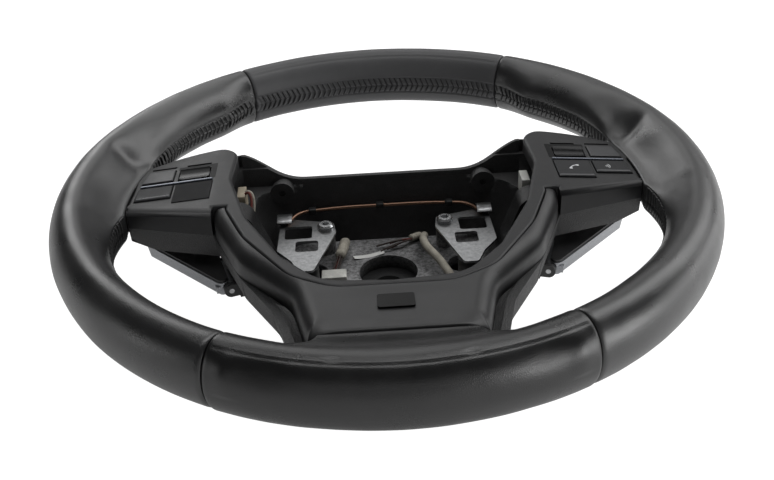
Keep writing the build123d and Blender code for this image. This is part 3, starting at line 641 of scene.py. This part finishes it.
def makeGrip(name, node, form, middle, way, start, end, seed, stretches):
    # a grip is a grid of angle along the rim and phase round the section; its ends roll into the seams
    shapeOf = {"side": sideReach, "top": topReach, "bottom": bottomReach}[form]
    gap = math.degrees(rim["seamGap"] / 2 / rim["coreRadius"])
    low, high = start + gap, end - gap
    rows = int((high - low) / rim["angleStep"]) + 1
    rollAngle = math.degrees(rim["rollRadius"] / rim["coreRadius"])
    ends = np.array(rim["rollSteps"]) * rollAngle
    angles = np.concatenate([low + ends, np.linspace(low + rollAngle, high - rollAngle, rows), (high - ends)[::-1]])
    phases = circle(rim["sides"])
    if stretches:
        band = np.linspace(-rim["bandReach"], rim["bandReach"], rim["bandSides"]) + sewing["phase"]
        outside = np.abs(np.degrees(phases) - sewing["phase"]) > rim["bandReach"] + 1
        phases = np.sort(np.concatenate([phases[outside], np.radians(band)]))
    angle, phase = crossed(angles, phases)
    along = way * (angle - middle)
    shape = shapeOf(along)
    points = rimPoint(angle, phase, *shape)
    normals = gridNormals(points)
    toEnd = np.minimum(angle - low, high - angle) / rollAngle
    roll = rim["rollDepth"] * (1 - np.sqrt(np.maximum(0.0, 1 - (1 - np.clip(toEnd, 0, 1)) ** 2)))
    swell = sum(height * leatherWaves(points, size, seed + index)
                for index, (height, size) in enumerate(rim["waves"]))
    lift = swell - roll + formLift(along if form == "side" else np.abs(along), phase, form) * ease(toEnd / 2)
    if stretches:
        lift = lift + sewnRelief(angle, phase, shape[0], sewnShare(along) if form == "side" else 1.0)
        makeThreads(name + "Threads", low, high, lambda turn: shapeOf(way * (turn - middle)), stretches)
    points = points + normals * lift[..., None]
    turn = np.radians(angle[[0, -1]])
    core = rim["coreRadius"]
    centre = np.stack([core * np.cos(turn), core * np.sin(turn), np.full_like(turn, rim["height"])], -1)
    caps = centre + (points[[0, -1]] - centre) * rim["capSize"]
    points = np.concatenate([caps[:1], points, caps[1:]])
    # each grip takes its own copy of the leather: painted light on the top grip, painted shade on the bottom grip
    piece = newPiece(name, points, gridFaces(len(points), len(phases), closeColumns=True), "blackLeatherLitAndShaded." + form)
    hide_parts(node)


def makeRim():
    # each grip: name, node, form, its middle, way round from there, both ends, seed of its waves, sewn stretches
    top, bottom = rim["seamTop"], rim["seamBottom"]
    low, high = sewing["bareRoot"]
    makeGrip("leatherTop", "rim_grip_top", "top", 90, 1, top, 180 - top, 3, [(top, 180 - top)])
    makeGrip("leatherRight", "rim_grip_right", "side", 0, 1, bottom - 90, top, 5, [(bottom - 90, low), (high, top)])
    makeGrip("leatherLeft", "rim_grip_left", "side", 180, -1, 180 - top, 270 - bottom, 7,
             [(180 - top, 180 - high), (180 - low, 270 - bottom)])
    makeGrip("leatherBottom", "rim_grip_bottom", "bottom", 270, 1, 270 - bottom, 270 + bottom, 9, [])


makeRim()
print("rim covered")

# lower trim: a soft shell between the groove round the opening and its outer edge

trim = {
    "front": 94.5,
    "seam": 78.9,
    "innerWall": 86.0,
    "innerEdge": [(90.9, -17.0), (90.9, -20.0), (78.4, -52.2), (52.3, -91.3), (30.1, -103.4), (0.0, -103.4)],
    "outerEdge": [(97.5, -17.0), (97.0, -26.0), (80.0, -68.0), (51.0, -101.0), (42.0, -139.7)],
    "bottomEdge": [(42.0, -139.7), (0.0, -139.7)],
    # points of the inner and of the outer edge that face each other
    "facing": [((90.9, -17), (97.5, -17)), ((84, -38), (92, -40)), ((75, -58), (81, -66)), ((60, -80), (64, -86)),
               ((48, -93), (53, -99)), ((36, -100), (46, -116)), ((27, -103), (42, -139.7)),
               ((0, -103.4), (0, -139.7))],
    "sideRound": (9.5, 9.0),  # width and drop of the soft outer shoulder
    "bottomRound": (2.0, 1.6),
    "innerRound": (1.4, 1.4),
    "topRound": (3.0, 3.0),  # at the finger ends
    "hollow": 0.8,  # of the neck between its shoulders
    "neck": (26.0, -104.0, -139.0, 10.0),  # half width of the hollow, its upper and lower end, their softness
    "blur": 26.0,  # of the edges' corners
    "even": 13,  # columns over which the drop is averaged
    "rows": 34,
    "columns": 190,
}


def lineAt(line, place, steps=None):
    # places on a polyline by its own steps, or by the number of its point
    steps = np.arange(len(line)) if steps is None else steps
    return np.stack([np.interp(place, steps, line[:, axis]) for axis in range(line.shape[1])], -1)


def softLine(points, blur, step=0.5):
    # polyline walked in small steps, each step's place averaged over a short run of its neighbours
    points = np.asarray(points, float)
    length = np.concatenate([[0], np.cumsum(np.linalg.norm(np.diff(points, axis=0), axis=1))])
    line = lineAt(points, np.linspace(0, length[-1], int(length[-1] / step) + 1), length)
    reach = max(1, int(blur / step / 2))
    window = np.hanning(2 * reach + 3)[1:-1]
    padded = np.concatenate([2 * line[0] - line[reach:0:-1], line, 2 * line[-1] - line[-2:-reach - 2:-1]])
    return np.stack([np.convolve(column, window / window.sum(), "valid") for column in padded.T], -1)


def nearest(line, places):
    return np.array([np.argmin(np.linalg.norm(line - np.asarray(place, float), axis=1)) for place in places])


def distanceTo(points, line):
    # distance to the nearest place on any stretch of the line
    start, run = line[:-1], np.diff(line, axis=0)
    away = points[..., None, :] - start
    part = np.clip((away * run).sum(-1) / np.maximum((run * run).sum(-1), 1e-12), 0, 1)
    return np.sqrt(((away - part[..., None] * run) ** 2).sum(-1).min(-1))


def shoulder(distance, size):
    # drop beside an edge: a quarter of an ellipse, nothing beyond its width
    width, drop = size
    part = 1 - np.clip(distance / width, 0, 1)
    return drop * (1 - np.sqrt(1 - part * part))


def evenOut(values, count):
    # average over neighbours along the first parameter, its last row being the mirror line
    window = np.hanning(count + 2)[1:-1] / np.hanning(count + 2).sum()
    half = count // 2
    padded = np.concatenate([np.repeat(values[:1], half, axis=0), values, values[-2:-half - 2:-1]])
    return sum(weight * padded[index:index + len(values)] for index, weight in enumerate(window))


def makeTrim():
    # a grid of place along the edges and of part between them, both sides of the middle
    inner = softLine(trim["innerEdge"], trim["blur"])
    side = softLine(trim["outerEdge"], trim["blur"])
    bottom = softLine(trim["bottomEdge"], 0.0)
    outer = np.concatenate([side, bottom[1:]])
    stations = np.arange(len(trim["facing"]))
    place = np.linspace(0, stations[-1], trim["columns"])
    start, end = [lineAt(line, np.interp(place, stations, nearest(line, facing)))
                  for line, facing in zip((inner, outer), zip(*trim["facing"]))]
    part = 0.5 - 0.5 * np.cos(np.pi * np.linspace(0, 1, trim["rows"]))
    flat = start[:, None] + (end - start)[:, None] * part[:, None]
    drop = shoulder(trim["facing"][0][0][1] - flat[..., 1], trim["topRound"])
    for edge, size in ((side, "sideRound"), (bottom, "bottomRound"), (inner, "innerRound")):
        drop = np.maximum(drop, shoulder(distanceTo(flat, edge), trim[size]))
    width, upper, lower, run = trim["neck"]
    x, y = flat[..., 0], flat[..., 1]
    neck = np.exp(-((x / width) ** 2)) * ease((upper - y) / run) * ease((y - lower) / run)
    height = trim["front"] - evenOut(drop, trim["even"]) - trim["hollow"] * neck
    half = np.concatenate([flat, height[..., None]], -1)
    innerFoot, outerFoot = half[:, :1].copy(), half[:, -1:].copy()
    innerFoot[..., 2] = trim["innerWall"]
    outerFoot[..., 2] = trim["seam"]
    half = np.concatenate([innerFoot, half, outerFoot], 1)
    cap = half[:1].copy()
    cap[..., 2] = trim["seam"]
    half = np.concatenate([cap, half])
    other = half[-2::-1] * np.array([-1.0, 1.0, 1.0])
    points = np.concatenate([half, other])
    faces = gridFaces(*points.shape[:2])[:, ::-1]
    piece = newPiece("lowerTrimShell", points, faces, "trimLacquer")
    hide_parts("lower_trim")


makeTrim()
print("lower trim ready")

# switch panels: the carrier's own shape with full soft borders, its cluster edges only just broken

panel = {
    "height": 93.5,
    "flatTo": 97.0,  # from here outwards the face slopes
    "slope": 4.5 / 52.0,
    "cluster": (99.6, 147.0, -6.8, 40.0),
    "ridge": ((98.2, -22.1), (148.5, -8.1)),
    "ridgeRound": 4.2,
    "borderRound": 2.2,
    "clusterRound": 0.25,
    "sharp": math.radians(32),  # edges sharper than this are rounded
    "flat": math.radians(0.6),  # faces closer than this are joined
    "onFace": 0.25,  # how near a corner lies to the face or to the ridge that it belongs to
    "onRidge": 0.6,
}


def makePanels():
    # copy of the node's mesh, welded and joined to flat faces, then three sets of its edges rounded
    shape = bmesh.new()
    shape.from_mesh(nodes["switch_carrier"].data)
    bmesh.ops.remove_doubles(shape, verts=shape.verts, dist=0.002 * mm)
    bmesh.ops.dissolve_limit(shape, angle_limit=panel["flat"], verts=shape.verts, edges=shape.edges)

    def onFace(corner):
        x, z = abs(corner.co.x) / mm, corner.co.z / mm
        return abs(z - (panel["height"] - max(0.0, x - panel["flatTo"]) * panel["slope"])) < panel["onFace"]

    def onRidge(corner):
        (x0, y0), (x1, y1) = panel["ridge"]
        x, y = abs(corner.co.x) / mm, corner.co.y / mm
        return x > x0 - 0.5 and abs(y - (y0 + (x - x0) * (y1 - y0) / (x1 - x0))) < panel["onRidge"]

    def inCluster(corner):
        left, right, low, high = panel["cluster"]
        return left < abs(corner.co.x) / mm < right and low < corner.co.y / mm < high

    def sharp(edge):
        return len(edge.link_faces) == 2 and edge.is_convex and edge.calc_face_angle(0.0) > panel["sharp"]

    def soften(wanted, width, segments):
        chosen = [edge for edge in shape.edges if sharp(edge) and all(map(onFace, edge.verts)) and wanted(edge)]
        bmesh.ops.bevel(shape, geom=chosen, offset=width * mm, offset_type="OFFSET", segments=segments, profile=0.5,
                        affect="EDGES", clamp_overlap=False, loop_slide=False)

    soften(lambda edge: all(map(onRidge, edge.verts)), panel["ridgeRound"], 6)
    soften(lambda edge: not any(map(inCluster, edge.verts)), panel["borderRound"], 4)
    soften(lambda edge: all(map(inCluster, edge.verts)), panel["clusterRound"], 2)
    mesh = bpy.data.meshes.new("panelShell")
    shape.to_mesh(mesh)
    shape.free()
    mesh.shade_smooth()
    mesh.set_sharp_from_angle(angle=math.radians(40))
    mesh.materials.clear()
    mesh.materials.append(materials["panelPlastic"])
    piece = addObject("panelShell", mesh)
    piece.modifiers.new("shading", "WEIGHTED_NORMAL").keep_sharp = True
    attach(piece, "wheel")
    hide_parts("switch_carrier")


makePanels()
print("panels ready")

# wiring in the cavity: tubes along smooth routes that repeat the route points of the CAD leads

wiring = {
    "sleeve": [(-26.0, 31.0, 34.5), (-27.5, 19.0, 37.0), (-30.5, 7.0, 36.5), (-33.0, -5.0, 34.5)],
    "sleeveRadius": 3.4,
    "taped": 0.6,  # share of the sleeve under tape, the rest is bare wires
    "pale": [(25.0, 35.0, 33.5), (22.5, 22.0, 40.5), (25.0, 8.0, 41.0), (33.0, -6.0, 39.5), (40.0, -24.0, 33.5)],
    "paleRadius": 2.5,
    "paleLength": 0.0658,
    "dark": [(18.0, 32.0, 33.0), (13.0, 28.0, 35.5), (4.0, 25.5, 35.5), (-5.0, 24.5, 33.0)],
    "sides": 10,  # of a thin wire
    "wire": 0.55,  # radius of a thin wire
    "sleeveFan": [(-1.7, 0.6), (0.9, 1.7), (1.8, -0.6), (-0.6, -1.2), (0.2, 0.4)],  # of its bare wires
    # thin wires of the fan: how far the end of each lies beside the end of the dark lead
    "fan": [(-1.0, 1.5, 0.2), (2.5, 3.2, 0.0), (5.0, -2.0, -0.6), (1.5, -3.4, -0.6), (8.5, 0.5, -1.0),
            (7.0, 4.6, -0.4)],
    "fanTape": [(22.0, 36.0, 33.5), (19.5, 33.5, 34.2), (16.0, 30.5, 35.0)],
    "fanTapeRadius": 2.1,
    "plugRed": [(-84.0, 23.5, 78.0), (-81.5, 21.5, 81.0), (-79.5, 17.0, 77.0), (-80.5, 13.0, 71.5)],
    "plugRedRadius": 0.8,
    "plugPale": [(-84.0, 26.0, 78.0), (-80.5, 24.0, 80.0), (-78.5, 19.5, 74.5), (-79.5, 16.0, 69.0)],
    "plugPaleRadius": 0.9,
}


def newRoute(name, points):
    # smooth spline with these control points, in millimetres
    curve = bpy.data.curves.new(name, "CURVE")
    curve.dimensions = "3D"
    curve.resolution_u = 16
    spline = curve.splines.new("NURBS")
    spline.points.add(len(points) - 1)
    for point, place in zip(spline.points, points):
        point.co = (*[value * mm for value in place], 1)
    spline.order_u = 3
    spline.use_endpoint_u = True
    return curve


def routePoints(points):
    # places along a route, in millimetres
    curve = newRoute("route", points)
    holder = bpy.data.objects.new("route", curve)
    mesh = bpy.data.meshes.new_from_object(holder)
    places = np.empty(len(mesh.vertices) * 3)
    mesh.vertices.foreach_get("co", places)
    bpy.data.objects.remove(holder)
    bpy.data.curves.remove(curve)
    bpy.data.meshes.remove(mesh)
    return places.reshape(-1, 3) / mm


def tubePoints(path, radius):
    # rings of points round a path, radius by place along it and turn round it, both ends drawn to a point
    ahead = unit(np.gradient(path, axis=0))
    across = unit(np.cross(ahead, np.array([0.0, 0.0, 1.0])))
    normal = np.cross(across, ahead)
    turn = circle(radius.shape[1])
    ring = across[:, None] * np.cos(turn)[:, None] + normal[:, None] * np.sin(turn)[:, None]
    points = path[:, None] + ring * radius[..., None]
    first, last = [np.repeat(end[:, None], radius.shape[1], axis=1) for end in (path[:1], path[-1:])]
    points = np.concatenate([first, points, last])
    return points, gridFaces(*points.shape[:2], closeColumns=True)[:, ::-1]


def makeTubes(name, routes, radius, finish):
    # several tubes as one piece
    paths = [routePoints(route) for route in routes]
    tubes = [tubePoints(path, np.full((len(path), wiring["sides"]), radius)) for path in paths]
    return newPiece(name, *joined(tubes), finish)


def makeSleeve():
    # cloth tape wound round the wires: radius rises in a slow spiral step, with loose folds
    path = routePoints(wiring["sleeve"])
    path = path[:max(4, int(len(path) * wiring["taped"]))]
    turn = circle(28)
    along = np.linspace(0, 1, len(path))[:, None]
    wound = ((along * 5.5 + turn / (2 * np.pi)) % 1.0) ** 3
    folds = 0.1 * np.sin(turn * 3 + along * 9) + 0.06 * np.sin(turn * 7 - along * 21)
    ends = np.sqrt(np.clip(1 - np.clip((along - 0.88) / 0.12, 0, 1) ** 2, 0.25, 1))
    radius = (wiring["sleeveRadius"] - 0.25 + 0.25 * wound + folds) * ends
    sleeve = newPiece("tapedSleeve", *tubePoints(path, radius), "beigeTape")
    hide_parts("taped_sleeve")
    routes = [[(x + side * (0.55 + 0.2 * index), y, z + up * 0.8)
               for index, (x, y, z) in enumerate(wiring["sleeve"][1:])] for side, up in wiring["sleeveFan"]]
    makeTubes("sleeveWiresBrown", routes[:3], wiring["wire"], "darkWire")
    makeTubes("sleeveWiresRed", routes[3:], wiring["wire"], "redWire")


def makePaleLead():
    curve = newRoute("paleLead", wiring["pale"])
    curve.bevel_depth = wiring["paleRadius"] * mm
    curve.bevel_resolution = 6
    curve.use_fill_caps = True
    curve.materials.append(materials["beigeTape"])
    lead = addObject("paleLead", curve)
    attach(lead, "wheel")
    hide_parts("pale_lead")


def makeFan():
    # thin wires leave one taped end and spread over the hub
    base = np.array(wiring["dark"])
    share = np.linspace(0, 1, len(base))[:, None] ** 1.3
    routes = [base + np.array(offset) * share + np.array([0.3, -0.3, 0.25]) * (index % 3 - 1)
              for index, offset in enumerate(wiring["fan"])]
    fan = makeTubes("fanWiresBrown", routes[:4], wiring["wire"], "darkWire")
    makeTubes("fanWiresRed", routes[4:], wiring["wire"], "redWire")
    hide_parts("dark_lead")
    path = routePoints(wiring["fanTape"])
    turn = circle(20)
    along = np.linspace(0, 1, len(path))[:, None]
    radius = wiring["fanTapeRadius"] + 0.2 * ((along * 3 + turn / 6.283) % 1.0) + 0.1 * np.sin(3 * turn)
    newPiece("fanTape", *tubePoints(path, radius), "beigeTape")


makeSleeve()
makePaleLead()
makeFan()
makeTubes("plugWireRed", [wiring["plugRed"]], wiring["plugRedRadius"], "redWire")  # these two leave the left plug
makeTubes("plugWirePale", [wiring["plugPale"]], wiring["plugPaleRadius"], "beigeTape")
print("wiring ready")

# small fittings of the cavity

cavity = {
    "strip": [(-21.5, 17.7), (-20.3, 14.1), (-1.3, 18.9), (-2.4, 22.5)],
    "stripHeight": 31.25,
    "stripCurl": 1.1,
    "clips": [(-2.5, 49.4), (42.0, 47.4), (-46.0, 47.0)],
    "clipHeight": 49.7,
    "clipHalf": (2.4, 2.2),  # half width and height of a clip round its wire
    "clipLength": 5.0,
    "tabX": (58.5, 68.0),  # folded end of a plate, over the end of the wire
    "tabLine": [(40.2, 47.2), (41.4, 49.6), (40.0, 52.2), (36.5, 52.9), (32.0, 52.2), (30.6, 51.0)],
    "tabSheet": 0.9,
    "returnX": (87.6, 98.2),
    "returnY": (56.6, 57.4),
    "returnZ": (79.2, 87.4),
    "starPlace": (64.0, 46.6, 64.0),
    "starRadius": 2.6,
    "starDepth": 0.9,
}


def makeStrip():
    # blank paper strip: a bilinear patch between its corners, ends curled up a little
    a, b, c, d = [np.array(corner) for corner in cavity["strip"]]
    u, v = crossed(np.linspace(0, 1, 30), np.linspace(0, 1, 6))
    u3, v3 = u[..., None], v[..., None]
    flat = (1 - u3) * ((1 - v3) * b + v3 * a) + u3 * ((1 - v3) * c + v3 * d)
    height = cavity["stripHeight"] + cavity["stripCurl"] * np.abs(2 * u - 1) ** 2.5 + 0.1 * np.sin(9 * u)
    points = np.concatenate([flat, height[..., None]], -1)
    newPiece("paperStrip", points, gridFaces(30, 6), "whitePaper")


def makeClips():
    # each clip is a rounded square ring swept along the wire for a short way
    turn = circle(40)
    along = np.array([-1.0, -0.97, -0.86, 0.0, 0.86, 0.97, 1.0]) * cavity["clipLength"] / 2
    size = np.array([0.0, 0.8, 0.97, 1.0, 0.97, 0.8, 0.0])
    side, up = [half * np.sign(wave) * np.abs(wave) ** 0.5
                for half, wave in zip(cavity["clipHalf"], (np.cos(turn), np.sin(turn)))]
    ring = np.stack([np.broadcast_to(along[:, None], (7, 40)), size[:, None] * side, size[:, None] * up], -1)
    faces = gridFaces(7, 40, closeColumns=True)
    clips = [(ring + np.array([x, y, cavity["clipHeight"]]), faces) for x, y in cavity["clips"]]
    newPiece("wireClips", *joined(clips), "moduleBlack")


def makeTabs():
    # sheet folded over the wire's end: a line of places in the plane across it, given thickness
    line = softLine(cavity["tabLine"], 3.0, 0.25)
    ahead = unit(np.gradient(line, axis=0))
    normal = np.stack([ahead[:, 1], -ahead[:, 0]], -1) * cavity["tabSheet"] / 2
    loop = np.concatenate([line + normal, (line - normal)[::-1]])
    low, high = cavity["tabX"]
    across = np.array([low, low + 0.01, low + 0.35, high - 0.35, high - 0.01, high])
    shrink = np.array([0.0, 0.6, 1.0, 1.0, 0.6, 0.0])
    middle = np.concatenate([line, line[::-1]])
    section = middle + (loop - middle) * shrink[:, None, None]
    for side, sign in bothSides:
        x = np.broadcast_to(sign * across[:, None, None], section.shape[:2] + (1,))
        points = np.concatenate([x, section], -1)
        faces = gridFaces(*points.shape[:2], closeColumns=True)
        piece = newPiece("bracketTab" + side, points, faced(faces, -sign), "zincPlate")


def makeWallReturns():
    # thin end of the rear wall, turned behind the panel's round corner: a flat loop swept along X
    low, high = cavity["returnZ"]
    near, far = cavity["returnY"]
    loop = np.array([(near, low), (near, high - 0.5), (near + 0.25, high), (far - 0.25, high), (far, high - 0.5),
                     (far, low)])
    x = np.linspace(*cavity["returnX"], 12)
    part = np.linspace(0, 1, 12)[:, None]
    height = low + (loop[:, 1] - low) * (1 - 0.35 * part * part)
    for name, side in bothSides:
        points = np.stack([np.broadcast_to(side * x[:, None], height.shape),
                           np.broadcast_to(loop[:, 0], height.shape), height], -1)
        newPiece("wallReturn" + name, points, faced(gridFaces(12, 6, closeColumns=True), side), "grainedCover")


def makeStarScrews():
    # round heads in the pads: a disc with a six-lobed hollow
    turn, radius = crossed(circle(48), np.linspace(0, 1, 14))
    lobe = 0.5 + 0.12 * np.cos(6 * turn)
    sunk = cavity["starDepth"] * ease((lobe - radius) / 0.08 + 0.5) + 0.5 * ease((radius - 0.86) / 0.14)
    size = cavity["starRadius"] * radius
    x, y, z = cavity["starPlace"]
    for name, side in bothSides:
        points = np.stack([side * x + size * np.cos(turn), y + sunk, z + size * np.sin(turn)], -1)
        newPiece("starScrew" + name, points, gridFaces(48, 14, closeRows=True), "moduleBlack")


makeWallReturns()
makeStarScrews()
makeStrip()
makeClips()
makeTabs()
print("cavity fittings ready")

# signs on the right keys: flat white strokes just over the key faces

signs = {
    "tilt": math.atan(panel["slope"]),
    "pivot": (panel["flatTo"], panel["height"]),
    "level": 0.86,
    "handset": [(109.6, 3.2), (109.9, 5.6), (112.2, 7.7), (115.0, 8.1)],
    "handsetWidth": (0.42, 0.95),
    "waves": [(130.4, 7.4, 1.0), (130.4, 7.4, 2.1), (130.4, 7.4, 3.2)],
    "waveWidth": 0.22,
    "waveReach": 42.0,
}


def onPanel(flat, level, side=1.0):
    # places over a panel's sloping face, from places on the flat plan
    x, z = signs["pivot"]
    along = flat[..., 0] - x
    sine, cosine = math.sin(signs["tilt"]), math.cos(signs["tilt"])
    return np.stack([side * (x + along * cosine + level * sine), flat[..., 1], z - along * sine + level * cosine], -1)


def strokePoints(line, half):
    # flat stroke of changing half width along a line
    ahead = unit(np.gradient(line, axis=0))
    side = np.stack([-ahead[:, 1], ahead[:, 0]], -1)
    across = np.linspace(-1, 1, 5)
    return line[:, None] + side[:, None] * (across[:, None] * half[:, None, None])


def makeSigns():
    line = softLine(signs["handset"], 3.0, 0.1)
    part = np.linspace(-1, 1, len(line))
    thin, thick = signs["handsetWidth"]
    half = thin + (thick - thin) * ease((np.abs(part) - 0.5) / 0.2) * np.sqrt(np.clip((1 - np.abs(part)) / 0.08, 0, 1))
    points = onPanel(strokePoints(line, half), signs["level"])
    newPiece("handsetSign", points, gridFaces(*points.shape[:2])[:, ::-1], "signPaint", "key_inner_right")
    turn = np.radians(np.linspace(-signs["waveReach"], signs["waveReach"], 16))
    waves = []
    for x, y, radius in signs["waves"]:
        line = np.stack([x + radius * np.cos(turn), y + radius * np.sin(turn)], -1)
        stroke = strokePoints(line, np.full(16, signs["waveWidth"]))
        waves.append((onPanel(stroke, signs["level"]), gridFaces(16, 5)[:, ::-1]))
    newPiece("voiceSign", *joined(waves), "signPaint", "key_lower_right")


# beads along the lower ends of the lower keys, lighter as a painted highlight; flat dark patches round the rockers as
# painted shade

keyTrim = {
    # body, side, inner end, outer end, place of the bead along Y
    "beads": [("key_lower_left", -1.0, 124.6, 144.6, 1.7), ("key_lower_right", 1.0, 124.6, 144.6, 1.7),
              ("key_inner_right", 1.0, 101.6, 121.8, -4.2)],
    "beadHalf": 1.0,
    "beadRise": 0.55,
    "keyFace": 0.8,
    # flat dark patches round the rockers as painted shade: their plan ranges in X and Y, then their height over the
    # panel
    "shadePatches": [(102.4, 123.4, 33.1, 36.9), (99.7, 103.1, 18.9, 36.9)],
    "shadeLevel": 0.04,
}


def makeBeads():
    # half an ellipse swept along the key, run out to nothing at both ends; a real lower facet whose lighter plastic is
    # a painted highlight
    for body, side, start, end, place in keyTrim["beads"]:
        run, turn = crossed(np.linspace(-1, 1, 40), np.linspace(0, np.pi, 11))
        size = np.sqrt(np.clip((1 - np.abs(run)) / 0.06, 0, 1))
        flat = np.stack([(start + end) / 2 + run * (end - start) / 2,
                         place + keyTrim["beadHalf"] * np.cos(turn) * (0.6 + 0.4 * size)], -1)
        points = onPanel(flat, keyTrim["keyFace"] - 0.05 + keyTrim["beadRise"] * np.sin(turn) * size, side)
        newPiece("bead." + body, points, faced(gridFaces(40, 11), side), "beadPlastic", body)


def makeShadePatches():
    # flat dark patches just over the panel, painted shade for the pockets round the rockers, as grids of two plan
    # directions
    for name, side in bothSides:
        patches = []
        for index, (x0, x1, y0, y1) in enumerate(keyTrim["shadePatches"]):
            x, y = crossed(np.linspace(x0, x1, 12), np.linspace(y0, y1, 8))
            level = keyTrim["shadeLevel"] * (1 + 0.3 * index)
            patches.append((onPanel(np.stack([x, y], -1), level, side), faced(gridFaces(12, 8), side)))
        newPiece("rockerPaintedShade" + name, *joined(patches), "hollowBlack")


makeBeads()
makeShadePatches()
makeSigns()
print("signs ready")
